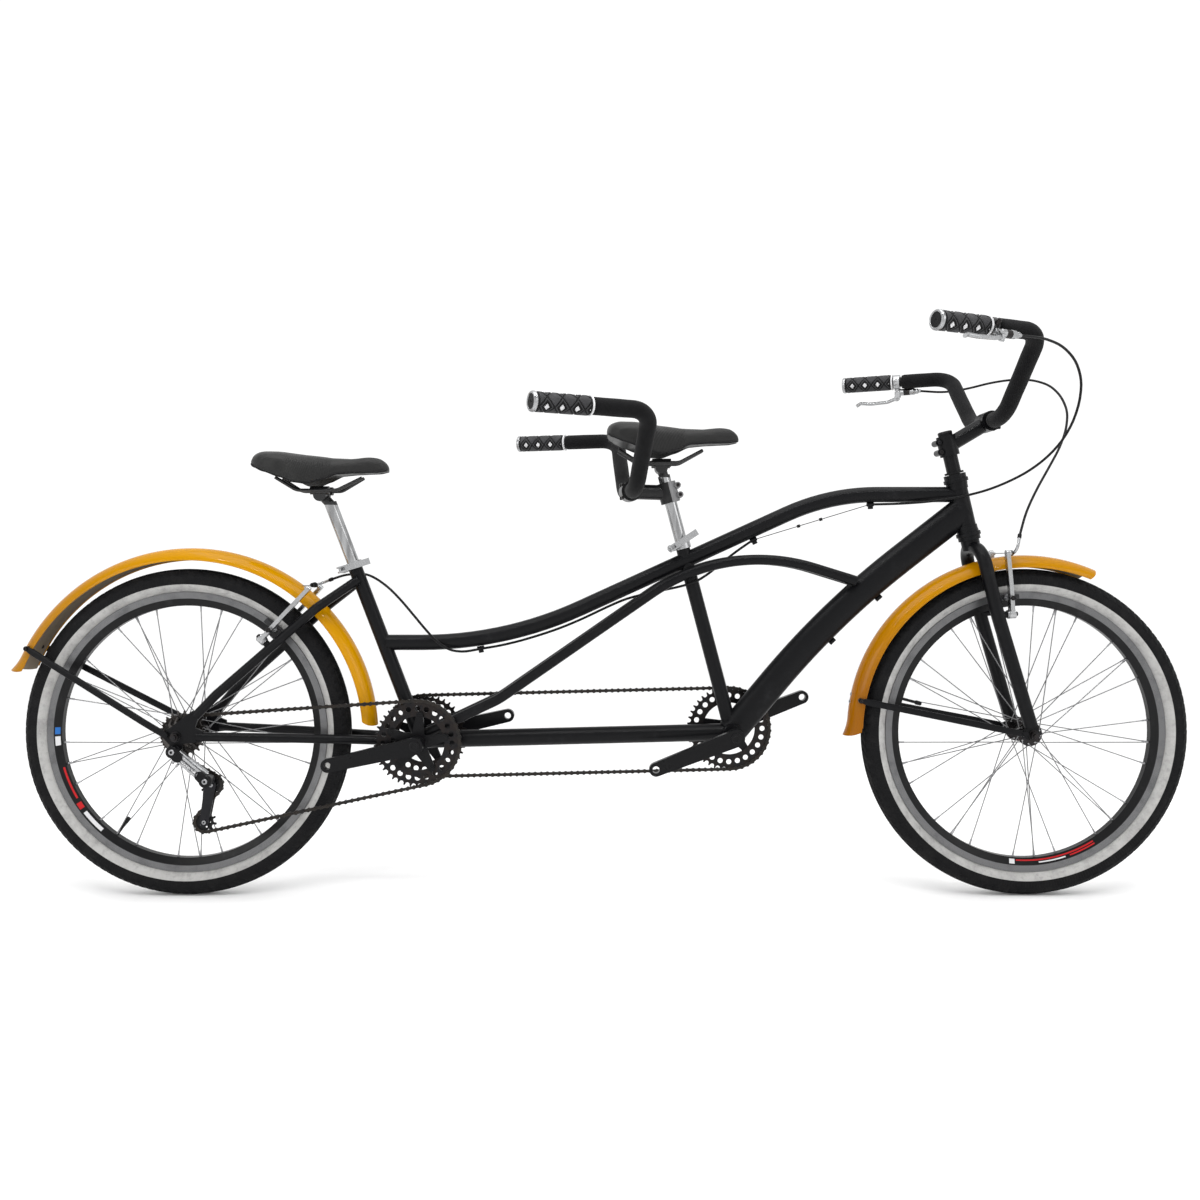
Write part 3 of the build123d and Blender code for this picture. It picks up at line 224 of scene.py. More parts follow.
def bright_metal(name, tone, rough, grain=(1.0, 1.0, 1.0), grime=0.35, depth=0.00015):
    """Plated or bright metal with a drawn grain, smears and grime in patches."""
    s = Surface(name, rough, metal=1.0)
    streak = s.noise(260, 3, 0.6, grain)
    dirt = s.patches(0.52, 0.8, 48, 5, 0.68)
    dull = tuple(c * 0.42 for c in tone)
    s.colour(s.mix(s.times(dirt, grime), tone, dull))
    s.roughness(s.plus(s.span(streak, rough * 0.65, rough * 1.45), s.times(dirt, 0.14)))
    s.bump(streak, depth, 0.3)
    return s


def soft_black(name, tone, rough, cell, depth, dust=0.35):
    """Foam or moulded rubber, with a cell texture and a dusty bloom."""
    s = Surface(name, rough, specular=0.13)
    bloom = s.patches(0.44, 0.78, 22, 5, 0.6)
    pale = tuple(c * 2.2 + 0.003 for c in tone)
    s.colour(s.mix(s.times(bloom, dust), tone, pale))
    s.roughness(s.span(s.noise(120, 3), rough - 0.1, min(rough + 0.12, 1.0)))
    s.bump(s.cells(cell), depth, 0.55)
    s.bump(s.noise(cell * 0.35, 4, 0.6), depth * 1.5, 0.3)
    s.put("Sheen Weight", 0.04)
    return s.mat


def oily_steel(name, tone, rough, rust=0.25):
    """Dark steel with an oil film: glossier where wet, browner where dry."""
    s = Surface(name, rough, metal=0.85)
    wet = s.patches(0.4, 0.68, 75, 4, 0.6)
    s.colour(s.mix(s.times(s.flip(wet), rust), tone, (0.085, 0.055, 0.035)))
    s.roughness(s.less(s.span(s.noise(210, 3), rough, rough + 0.2), s.times(wet, 0.16)))
    s.bump(s.noise(420, 3), 0.00015, 0.35)
    return s.mat


paint = satin_paint("black_powder_coat", (0.0038, 0.0039, 0.0046), (0.011, 0.0112, 0.0125), 0.33)
black_alloy = satin_paint("black_anodised", (0.0036, 0.0036, 0.0042), (0.012, 0.012, 0.0125), 0.29, 0.14)
black_plastic = soft_black("black_plastic", (0.0055, 0.0055, 0.006), 0.42, 900, 0.00006, 0.25)
# Mudguard enamel: the first colour is the lit one, the second the painted shade, towards the bottom of the
# front mudguard and the tail of the rear one.
guard_paint = {
    "front": enamel("front_mudguard_enamel", (0.43, 0.185, 0.0), (0.26, 0.085, 0.0), 2, 0.36, 0.66),
    "rear": enamel("rear_mudguard_enamel", (0.50, 0.228, 0.0), (0.36, 0.150, 0.0), 0, -1.18, -0.80),
}
primer = soft_black("mudguard_primer", (0.20, 0.165, 0.125), 0.6, 500, 0.0001, 0.0)
silver = bright_metal("bright_alloy", (0.37, 0.374, 0.38), 0.27, (1, 1, 7)).mat
bolt_steel = bright_metal("bolt_steel", (0.32, 0.32, 0.33), 0.3, (1, 5, 1)).mat
dark_bolt = oily_steel("black_oxide_bolts", (0.020, 0.020, 0.022), 0.32, 0.1)
wire_steel = bright_metal("spoke_steel", (0.20, 0.20, 0.205), 0.3, (1, 1, 1), 0.35).mat
chain_steel = oily_steel("oiled_chain", (0.020, 0.0195, 0.019), 0.34, 0.12)
ring_steel = oily_steel("black_chainring", (0.012, 0.012, 0.0135), 0.36, 0.12)
cog_steel = oily_steel("cog_steel", (0.075, 0.073, 0.072), 0.34, 0.2)
foam = soft_black("bar_foam", (0.0042, 0.0042, 0.0047), 0.85, 820, 0.0003, 0.2)
diamond_mat = soft_black("grip_diamonds", (0.034, 0.034, 0.036), 0.5, 1700, 0.00012, 0.6)
grip_rubber = soft_black("grip_rubber", (0.0048, 0.0048, 0.0052), 0.55, 1500, 0.0001, 0.4)
housing = soft_black("cable_housing", (0.0050, 0.0050, 0.0055), 0.33, 300, 0.00003, 0.2)


def pale_inlay():
    s = Surface("pale_inlays", 0.36, coat=0.3)
    s.colour(s.mix(s.patches(0.5, 0.8, 90, 4), (0.60, 0.60, 0.61), (0.38, 0.38, 0.385)))
    s.bump(s.noise(900, 2), 0.0001, 0.3)
    return s.mat


inlay_mat = pale_inlay()


def post_metal(name, head_z):
    """A plated seat post with rails and a clamp in black above it; the plating carries painted reflection in
    dark vertical streaks.
    """
    s = bright_metal(name, (0.40, 0.405, 0.41), 0.17, (1, 1, 0.05), 0.45)
    top = s.step(s.split()[2], head_z - 0.0205, head_z - 0.0195)
    dirt = s.patches(0.5, 0.8, 60, 4, 0.6)
    # Painted reflection: long dark vertical streaks stand in for the dark reflections in the chrome.
    painted_reflection_streaks = s.patches(0.35, 0.68, 85, 3, 0.6, (1, 1, 0.03))
    plated = s.mix(s.times(painted_reflection_streaks, 0.6), (0.42, 0.425, 0.43), (0.13, 0.13, 0.133))
    plated = s.mix(s.times(dirt, 0.35), plated, (0.20, 0.195, 0.19))
    s.colour(s.mix(top, plated, (0.006, 0.006, 0.0065)))
    s.metallic(s.flip(s.times(top, 0.9)))
    plate_rough = s.span(s.noise(240, 3, 0.6, (1, 1, 0.05)), 0.1, 0.24)
    s.roughness(s.plus(plate_rough, s.times(top, 0.22)))
    return s.mat


def brake_metal(name):
    """Alloy brake arms with black rubber shoes beside the rim."""
    s = bright_metal(name, ALLOY, 0.26, (1, 1, 6))
    away = s.math("ABSOLUTE", s.split()[1])
    shoe = s.flip(s.step(away, 0.0219, 0.0221))
    dirt = s.patches(0.5, 0.8, 60, 4, 0.6)
    alloy = s.mix(s.times(dirt, 0.35), ALLOY, (0.15, 0.15, 0.15))
    s.colour(s.mix(shoe, alloy, (0.014, 0.014, 0.015)))
    s.metallic(s.flip(shoe))
    s.roughness(s.plus(s.span(s.noise(200, 3), 0.2, 0.36), s.times(shoe, 0.4)))
    return s.mat


def rim_metal(name, centre, stripes):
    """A black rim with a machined brake track, and plain stripes on its side."""
    s = Surface(name, 0.33, metal=0.2, specular=0.2)
    away, angle = s.polar(centre)
    side = s.step(s.math("ABSOLUTE", s.split()[1]), 0.0118, 0.0124)
    track = s.times(s.step(away, *BRAKE_TRACK), side)
    rings = s.wave(away, 3400)
    worn = s.patches(0.45, 0.75, 40, 4, 0.6)
    lathe_lines = s.step(rings, -0.2, 0.7)
    ground = s.mix(s.times(worn, 0.6), (0.19, 0.191, 0.195), (0.10, 0.10, 0.103))
    bright = s.mix(s.times(lathe_lines, 0.6), ground, (0.035, 0.035, 0.036))
    base = s.mix(s.patches(0.5, 0.8, 30, 4, 0.6), (0.0045, 0.0045, 0.005), (0.013, 0.013, 0.014))
    for low, high, inner, outer, tone in stripes:
        if high > 180:
            turn = s.plus(angle, s.times(s.math("LESS_THAN", angle, 0.0), 360.0))
        else:
            turn = angle
        zone = s.times(s.within(turn, low, high, 0.1), s.within(away, inner, outer, 0.0002))
        base = s.mix(zone, base, tone)
    s.colour(s.mix(track, base, bright))
    s.metallic(s.math("MULTIPLY_ADD", track, 0.8, 0.1))
    s.roughness(s.plus(s.span(s.noise(150, 3), 0.24, 0.38), s.times(track, 0.06)))
    s.bump(s.times(rings, track), 0.00006, 0.5)
    return s.mat


def tyre_rubber(name, centre):
    """Black tyre rubber with a ribbed pale band on each sidewall, scuffed and dusty."""
    s = Surface(name, 0.72, specular=0.12)
    away, angle = s.polar(centre)
    dust = s.patches(0.42, 0.75, 40, 5, 0.65)
    tread = s.step(away, 0.3225, 0.3265)
    black = s.mix(s.times(dust, s.math("MULTIPLY_ADD", tread, 0.5, 0.3)),
                  (0.0050, 0.0050, 0.0056), (0.020, 0.0195, 0.019))
    band = s.within(away, *PALE_BAND, 0.0004)
    scuff = s.patches(0.38, 0.72, 24, 5, 0.7)
    smear = s.patches(0.45, 0.8, 90, 4, 0.7)
    pale = s.mix(s.times(scuff, 0.6), (0.43, 0.425, 0.415), (0.23, 0.227, 0.222))
    pale = s.mix(s.times(smear, 0.4), pale, (0.10, 0.099, 0.097))
    s.colour(s.mix(band, black, pale))
    s.roughness(s.less(s.span(s.noise(160, 3), 0.62, 0.8), s.times(band, 0.12)))
    ribs = s.wave(angle, 6.0)
    wall = s.within(away, *WALL_RIBS, 0.0008)
    s.bump(s.times(ribs, s.plus(wall, s.times(band, 0.35))), 0.0005, 0.45)
    s.bump(s.wave(away, 2600), 0.00012, 0.3)
    s.bump(s.noise(700, 3), 0.00018, 0.35)
    return s.mat


def leatherette(name, origin):
    """Black saddle cover: pebbled grain on top, fine curved lines pressed into the flanks."""
    s = Surface(name, 0.47, specular=0.3)
    x, _, z = s.split()
    tail = s.less(x, origin.x)
    flank = s.flip(s.step(z, origin.z + 0.0335, origin.z + 0.0365))
    zone = s.times(flank, s.within(tail, 0.075, 0.158, 0.004))
    centre = vec(origin.x - 0.02, 0, origin.z - 0.03)
    away, _ = s.polar(centre)
    lines = s.wave(away, 2100)
    rub = s.patches(0.42, 0.75, 14, 4, 0.6)
    s.colour(s.mix(s.times(rub, 0.6), (0.0075, 0.0075, 0.0074), (0.019, 0.019, 0.018)))
    s.roughness(s.plus(s.span(s.noise(70, 3), 0.38, 0.54), s.times(zone, 0.05)))
    s.bump(s.times(lines, zone), 0.0005, 0.55)
    grain = s.times(s.cells(620), s.flip(s.times(zone, 0.6)))
    s.bump(grain, 0.00028, 0.5)
    s.bump(s.noise(60, 3), 0.0006, 0.15)
    return s.mat


RED, WHITE, BLUE = (0.45, 0.012, 0.015), (0.62, 0.62, 0.63), (0.02, 0.13, 0.42)
rim_stripes = {"front": [(-94, -58, 0.2606, 0.2632, RED), (-97, -94.6, 0.2600, 0.2690, WHITE),
                         (-84, -72, 0.2652, 0.2676, WHITE), (-70, -58, 0.2652, 0.2676, RED)],
               "rear": [(178, 181, 0.2600, 0.2690, BLUE), (182, 186, 0.2600, 0.2690, WHITE),
                        (196, 211, 0.2606, 0.2640, RED), (213, 216, 0.2600, 0.2690, RED),
                        (218, 229, 0.2612, 0.2680, WHITE)]}

# ---- mesh helpers ----
def piece(name, points, faces, mats, body, slot, picks=None):
    """A mesh piece in the row frame that rides on a CAD body."""
    mesh = bpy.data.meshes.new(name)
    mesh.from_pydata([tuple(p) for p in points], [], faces)
    mesh.validate()
    obj = bpy.data.objects.new(name, mesh)
    bpy.context.scene.collection.objects.link(obj)
    for mat in mats if isinstance(mats, list) else [mats]:
        mesh.materials.append(mat)
    if picks is not None:
        mesh.polygons.foreach_set("material_index", picks)
    mesh.polygons.foreach_set("use_smooth", [True] * len(mesh.polygons))
    fix = bmesh.new()
    fix.from_mesh(mesh)
    bmesh.ops.recalc_face_normals(fix, faces=fix.faces)
    fix.to_mesh(mesh)
    fix.free()
    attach(obj, body)
    return obj


def sharpen(obj, angle):
    """Flat where a piece's faces meet at a sharp edge."""
    mesh = obj.data
    edit = bmesh.new()
    edit.from_mesh(mesh)
    for edge in edit.edges:
        if len(edge.link_faces) == 2 and edge.calc_face_angle(0) > radians(angle):
            edge.smooth = False
    edit.to_mesh(mesh)
    edit.free()
    return obj


def ring_faces(rows, cols, ends=True):
    """Quads between rings of points, and a face at each end."""
    faces = []
    for i in range(rows - 1):
        for j in range(cols):
            a, b = i * cols + j, i * cols + (j + 1) % cols
            faces.append((a, b, b + cols, a + cols))
    if ends:
        faces.append(tuple(reversed(range(cols))))
        faces.append(tuple(range((rows - 1) * cols, rows * cols)))
    return faces


def square_to(way):
    """Two directions square to a direction and to each other."""
    side = way.cross(vec(0, 0, 1) if abs(way.z) < 0.9 else vec(1, 0, 0)).normalized()
    return side, way.cross(side).normalized()


def frames_along(path):
    """Each point of a path with its direction and two that turn with it as little as they can."""
    ways = []
    for n in range(len(path)):
        ways.append((path[min(n + 1, len(path) - 1)] - path[max(n - 1, 0)]).normalized())
    side = square_to(ways[0])[0]
    made = []
    for point, way in zip(path, ways):
        side = (side - way * side.dot(way)).normalized()
        made.append((point, way, side, way.cross(side)))
    return made


def tube_mesh(path, radius, sides=16):
    """Points and faces of a tube along a path. radius is a number or a function of (distance, turn)."""
    points = []
    travel = 0.0
    last = path[0]
    for point, way, a, b in frames_along(path):
        travel += (point - last).length
        last = point
        for j in range(sides):
            turn = 2 * pi * j / sides
            r = radius(travel, turn) if callable(radius) else radius
            points.append(point + (a * cos(turn) + b * sin(turn)) * r)
    return points, ring_faces(len(path), sides)


def lathe_mesh(profile, origin, way, sides=24):
    """A turned shape. Its profile is (distance along, radius) in millimetres, or a radius from the angle."""
    a, b = square_to(way)
    points = []
    for along, r in profile:
        for j in range(sides):
            turn = 2 * pi * j / sides
            reach = r(turn) if callable(r) else r
            outward = a * cos(turn) + b * sin(turn)
            points.append(origin + way * (along * MM) + outward * (max(reach, 0.01) * MM))
    return points, ring_faces(len(profile), sides)


def join(parts):
    points, faces = [], []
    for more, these in parts:
        base = len(points)
        points += more
        faces += [tuple(i + base for i in f) for f in these]
    return points, faces


def lathe(name, profile, origin, way, mat, body, slot, sides=24):
    return sharpen(piece(name, *lathe_mesh(profile, Vector(origin), Vector(way).normalized(), sides), mat,
                         body, slot), 28)


def tube(name, path, radius, mat, body, slot, sides=16):
    return sharpen(piece(name, *tube_mesh([Vector(p) for p in path], radius, sides), mat, body, slot), 40)


def flat_stay(name, path, wide, thick, mat, body, slot):
    """A pressed strap with round edges, flat to the wheel, that narrows to a round at each end."""
    sides, taper = 24, 0.014
    travel = [0.0]
    for a, b in zip(path, path[1:]):
        travel.append(travel[-1] + (b - a).length)
    points = []
    for (point, way, _, _), gone in zip(frames_along(path), travel):
        across = (vec(0, 1, 0) - way * way.y).normalized()
        level = way.cross(across)
        near_end = min(1.0, min(gone, travel[-1] - gone) / taper)
        share = 0.5 + 0.5 * sin(near_end * pi / 2)
        for j in range(sides):
            c, d = cos(2 * pi * j / sides), sin(2 * pi * j / sides)
            flat = copysign(abs(c) ** 0.5, c) * wide / 2 * share
            deep = copysign(abs(d) ** 0.5, d) * thick / 2
            points.append(point + level * flat + across * deep)
    return sharpen(piece(name, points, ring_faces(len(path), sides), mat, body, slot), 40)


def rounded(points, bends, step=0.004):
    """Samples along straight runs joined by round bends."""
    points = [Vector(p) for p in points]
    line = [points[0]]
    for n in range(1, len(points) - 1):
        a, b, c = points[n - 1], points[n], points[n + 1]
        u, v = (a - b).normalized(), (c - b).normalized()
        half = u.angle(v) / 2
        r = bends[n - 1]
        back = r / tan(half)
        centre = b + (u + v).normalized() * (r / sin(half))
        first, last = b + u * back, b + v * back
        count = max(6, int((pi - 2 * half) * r / step))
        out_a, out_b = first - centre, last - centre
        for k in range(count + 1):
            share = k / count
            mixed = out_a.slerp(out_b, share)
            line.append(centre + mixed.normalized() * r)
    line.append(points[-1])
    made = [line[0]]
    for p in line[1:]:
        gap = p - made[-1]
        if gap.length < 1e-6:
            continue
        steps = max(1, ceil(gap.length / (step * 1.4)))
        start = made[-1].copy()
        for k in range(1, steps + 1):
            made.append(start + gap * (k / steps))
    return made


def hexagon(r):
    return lambda turn: r * cos(pi / 6) / cos((turn % (pi / 3)) - pi / 6)


def screw_mesh(place, way, r, tall):
    """A socket head screw."""
    key = hexagon(r * 0.52)
    return lathe_mesh([(-0.5, r * 0.98), (tall - r * 0.15, r), (tall, r * 0.86), (tall, key),
                       (tall - r * 0.6, key), (tall - r * 0.6, 0)], Vector(place),
                      Vector(way).normalized(), 24)


def nut_mesh(place, way, r, tall):
    flat = hexagon(r)
    return lathe_mesh([(0, flat), (tall * 0.8, flat), (tall, hexagon(r * 0.9)), (tall, r * 0.5),
                       (tall * 0.7, r * 0.5), (tall * 0.7, 0)], Vector(place), Vector(way).normalized(),
                      24)


def many(name, parts, mat, body, slot):
    return sharpen(piece(name, *join(parts), mat, body, slot), 28)


# ---- finishes of the CAD pieces ----
def finish(names, mat):
    for n in names.split():
        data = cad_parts[n].data
        data.materials.clear()
        data.materials.append(mat)


finish("head_tube top_tube down_tube boom_tube front_seat_tube rear_seat_tube arch_tubes rear_stays fork",
       paint)
finish("bottom_bracket_shells rear_dropouts bearing_cups cable_stops rear_fender_stays", paint)
finish("front_fender_stays", paint)
finish("front_fender", guard_paint["front"])
finish("rear_fender", guard_paint["rear"])
finish("captain_stem captain_handlebar stoker_handlebar front_cranks rear_cranks", black_alloy)
finish("seat_clamps front_qr_lever rear_qr_lever brake_lever_right brake_lever_left", silver)
finish("front_axle rear_axle front_hub rear_hub", dark_bolt)
finish("front_sync_ring rear_chainrings", ring_steel)
finish("sync_chain drive_chain", chain_steel)
finish("freewheel_sprockets", cog_steel)
finish("front_spokes rear_spokes", wire_steel)
finish("front_brake_cable rear_brake_cable", housing)
finish("guide_pulley tension_pulley", black_plastic)
finish("front_brake_arm_right front_brake_arm_left rear_brake_arm_right rear_brake_arm_left",
       brake_metal("brake_alloy"))
finish("front_seatpost", post_metal("front_post_plate", 0.870))
finish("rear_seatpost", post_metal("rear_post_plate", 0.814))
finish("front_rim", rim_metal("front_rim_black", FRONT_HUB, rim_stripes["front"]))
finish("rear_rim", rim_metal("rear_rim_black", REAR_HUB, rim_stripes["rear"]))
finish("front_saddle rear_saddle captain_grips stoker_grips front_tyre rear_tyre", foam)


def two_tone(name, place, way):
    """Bare grey alloy ahead of a plane through the seat post, black behind it."""
    s = Surface(name, 0.34, specular=0.3)
    past = s.less(s.dot(s.place, tuple(way)), place.dot(way))
    front = s.step(past, 0.0028, 0.0032)
    worn = s.patches(0.45, 0.75, 55, 4, 0.6)
    alloy = s.mix(s.times(worn, 0.6), (0.20, 0.20, 0.204), (0.13, 0.13, 0.132))
    black = s.mix(worn, (0.0036, 0.0036, 0.0042), (0.011, 0.011, 0.0115))
    s.colour(s.mix(front, black, alloy))
    s.metallic(s.times(front, 0.35))
    s.roughness(s.plus(s.span(s.noise(160, 3), 0.27, 0.4), s.times(front, 0.16)))
    s.bump(s.noise(600, 2), 0.00015, 0.3)
    return s.mat


def derailleur_metal(name):
    """Bright links between dark knuckles."""
    s = bright_metal(name, (0.55, 0.56, 0.57), 0.3, (5, 1, 1))
    upper, _ = s.polar(vec(-0.841, 0, 0.304))
    lower, _ = s.polar(vec(-0.780, 0, 0.244))
    dark = s.math("MAXIMUM", s.flip(s.step(upper, 0.0118, 0.0122)),
                  s.flip(s.step(lower, 0.0118, 0.0122)))
    alloy = s.mix(s.patches(0.5, 0.8, 70, 4, 0.6), (0.55, 0.56, 0.57), (0.22, 0.22, 0.22))
    s.colour(s.mix(dark, alloy, (0.018, 0.018, 0.02)))
    s.metallic(s.flip(s.times(dark, 0.8)))
    return s.mat


finish("derailleur_body", derailleur_metal("derailleur_alloy"))
finish("derailleur_cage", bright_metal("cage_steel", (0.022, 0.022, 0.024), 0.3, (1, 1, 4)).mat)


# ---- tyres ----
def tread(travel, t):
    """Height of the tread at a distance round the tyre and a turn across it, in metres above the casing."""
    across = abs(t)
    beat = travel / 0.0180
    if across > 1.32:
        return 0.0
    if across < 0.20:
        cut = abs(((beat + t * 0.8) % 1.0) - 0.5)
        return 0.0 if cut > 0.455 and across > 0.07 else 0.0016
    if across < 0.27:
        return 0.0002
    if across < 0.62:
        cell = (beat - (across - 0.27) * 1.5 + (0.5 if t > 0 else 0.0)) % 1.0
        return 0.0016 if 0.14 < cell < 0.86 else 0.0002
    if across < 0.68:
        return 0.0002
    if across < 1.12:
        cell = (beat + (across - 0.68) * 0.5 + (0.5 if t > 0 else 0.0)) % 1.0
        return 0.0015 if 0.17 < cell < 0.83 else 0.0001
    cell = (beat * 0.5 + (0.25 if t > 0 else 0.0)) % 1.0
    return 0.0008 if cell < 0.5 and across < 1.22 else 0.0


def tyre(name, centre):
    """A balloon tyre with ribs, chevrons and shoulder blocks."""
    mid, half = 0.307, 0.0234
    edges = (0.0, 0.05, 0.12, 0.185, 0.205, 0.265, 0.285, 0.38, 0.50, 0.60, 0.63, 0.675, 0.70, 0.85, 1.0,
             1.10, 1.14, 1.23, 1.36, 1.55, 1.70, 1.81, 1.98, 2.2, 2.45, 2.7, 2.86)
    turns = [-t for t in reversed(edges[1:])] + list(edges)
    around = 116 * 7
    points = []
    for i in range(around):
        angle = 2 * pi * i / around
        out = vec(cos(angle), 0, sin(angle))
        travel = angle * TYRE_R
        for t in turns:
            r = half + tread(travel, t)
            if abs(t) > 1.83:
                r += 0.0007
            points.append(centre + out * (mid + r * cos(t)) + vec(0, r * sin(t), 0))
    cols = len(turns)
    faces = []
    for i in range(around):
        for j in range(cols - 1):
            a, b = i * cols + j, ((i + 1) % around) * cols + j
            faces.append((a, a + 1, b + 1, b))
    which = "front" if centre.x > 0 else "rear"
    obj = piece(name, points, faces, tyre_rubber(f"{which}_tyre_rubber", centre), f"{which}_wheel", "tyre")
    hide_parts(f"{which}_tyre")
    return sharpen(obj, 24)


tyre("front_tyre_casing", FRONT_HUB)
tyre("rear_tyre_casing", REAR_HUB)

# ---- spoke nipples, valve caps ----
flange_y = {"front": (-0.033, 0.033), "rear": (-0.022, 0.034)}
flange_r = {"front": 0.020, "rear": 0.024}
valve_angle = {"front": 165.0, "rear": -125.0}
for name, centre in (("front", FRONT_HUB), ("rear", REAR_HUB)):
    nipples, heads = [], []
    for y in flange_y[name]:
        sign = 1 if y > 0 else -1
        for n in range(18):
            lean = 1 if n % 2 else -1
            hole = radians(n * 20 + (10 if y > 0 else 0))
            meet = hole + radians(lean * 55)
            foot = centre + vec(flange_r[name] * cos(hole), y + lean * 0.0021 * sign,
                                flange_r[name] * sin(hole))
            end = centre + vec(0.258 * cos(meet), 0.002 * sign, 0.258 * sin(meet))
            way = (end - foot).normalized()
            nipples.append(lathe_mesh([(-13, 1.3), (-12.5, 1.7), (-4, 1.8), (-3.5, 2.2), (1.5, 2.2)], end,
                                      way, 8))
            heads.append(lathe_mesh([(-0.9, 1.5), (0, 2.1), (0.8, 1.6), (1.1, 0.1)],
                                    vec(foot.x, centre.y + y + lean * sign * 0.0026, foot.z),
                                    vec(0, lean * sign, 0), 8))
    many(f"{name}_nipples", nipples, bolt_steel, f"{name}_wheel", "spoke_steel")
    many(f"{name}_spoke_heads", heads, bolt_steel, f"{name}_wheel", "spoke_steel")
    way = vec(cos(radians(valve_angle[name])), 0, sin(radians(valve_angle[name])))
    lathe(f"{name}_valve_cap", [(0, 3.5), (1, 4.6), (10, 4.4), (12.5, 3.6), (13.2, 0)],
          centre + way * 0.2285, -way, black_plastic, f"{name}_wheel", "black_plastic", 16)


# ---- saddles ----
def curve_at(table, s):
    """A smooth value between the rows of a small table."""
    for (s0, v0), (s1, v1) in zip(table, table[1:]):
        if s <= s1:
            share = (s - s0) / (s1 - s0)
            share = share * share * (3 - 2 * share) * 0.5 + share * 0.5
            return v0 + (v1 - v0) * share
    return table[-1][1]


SADDLE_LONG, SWELL_FRAMES, SWELL_MOST = 0.270, 20, 0.0035
WIDE = [(0, 0.046), (0.03, 0.060), (0.09, 0.0705), (0.2, 0.0735), (0.32, 0.069), (0.45, 0.051),
        (0.57, 0.0365), (0.7, 0.028), (0.85, 0.0225), (0.95, 0.0185), (1.0, 0.012)]
TOP = [(0, 0.034), (0.03, 0.042), (0.08, 0.0455), (0.2, 0.0445), (0.4, 0.0365), (0.58, 0.0325),
       (0.72, 0.0325), (0.86, 0.0365), (0.93, 0.034), (0.97, 0.0275), (1.0, 0.017)]
SKIRT = [(0, 0.018), (0.04, 0.010), (0.12, 0.001), (0.24, -0.010), (0.33, -0.020), (0.42, -0.0225),
         (0.52, -0.014), (0.63, -0.002), (0.75, 0.0005), (0.92, 0.002), (1.0, 0.0055)]


def saddle(which, origin, body):
    """A padded saddle: a crowned cover over foam, skirts down its flanks, on a moulded shell."""
    rows, half_cols = 46, 16
    points = []
    for i in range(rows):
        s = i / (rows - 1)
        w, top, skirt = curve_at(WIDE, s), curve_at(TOP, s), curve_at(SKIRT, s)
        under = max(min(0.0, top - 0.012), skirt + 0.002)
        lobe = 0.0016 * max(0.0, 1 - s * 2.4)
        shape = [(0, top - lobe), (0.25, top - lobe * 0.3), (0.5, top + lobe * 0.4), (0.72, top - 0.0025),
                 (0.88, top - 0.0075), (0.97, top - 0.0145), (1.0, top - 0.5 * (top - skirt)),
                 (0.985, skirt + 0.006), (0.955, skirt + 0.001), (0.91, skirt), (0.865, skirt + 0.0025),
                 (0.80, (skirt + under) / 2 + 0.001), (0.74, under), (0.5, under), (0.25, under),
                 (0, under)]
        for k in range(half_cols):
            points.append((s, shape[k][0] * w, shape[k][1]))
        for k in range(half_cols - 2, 0, -1):
            points.append((s, -shape[k][0] * w, shape[k][1]))
    cols = 2 * half_cols - 2
    real = [origin + vec(s * SADDLE_LONG, y, z) for s, y, z in points]
    mat = leatherette(f"{which}_saddle_cover", origin)
    obj = piece(f"{which}_saddle_pad", real, ring_faces(rows, cols), mat, body, "saddle_cover")
    obj.parent = None
    bpy.ops.object.select_all(action="DESELECT")
    bpy.context.view_layer.objects.active = obj
    obj.select_set(True)
    obj.data.remesh_voxel_size = 0.0042
    bpy.ops.object.voxel_remesh()
    relax(obj, 4, 0.5)
    inflate(obj, origin)
    relax(obj, 2, 0.4)
    smoother = obj.modifiers.new("smooth_surface", "SUBSURF")
    smoother.levels = 1
    smoother.render_levels = 1
    obj.data.polygons.foreach_set("use_smooth", [True] * len(obj.data.polygons))
    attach(obj, body)
    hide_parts(f"{which}_saddle")
    trims(which, origin, body)
    return obj


def relax(obj, times, share):
    edit = bmesh.new()
    edit.from_mesh(obj.data)
    for _ in range(times):
        bmesh.ops.smooth_vert(edit, verts=edit.verts, factor=share, use_axis_x=True, use_axis_y=True,
                              use_axis_z=True)
    edit.to_mesh(obj.data)
    edit.free()


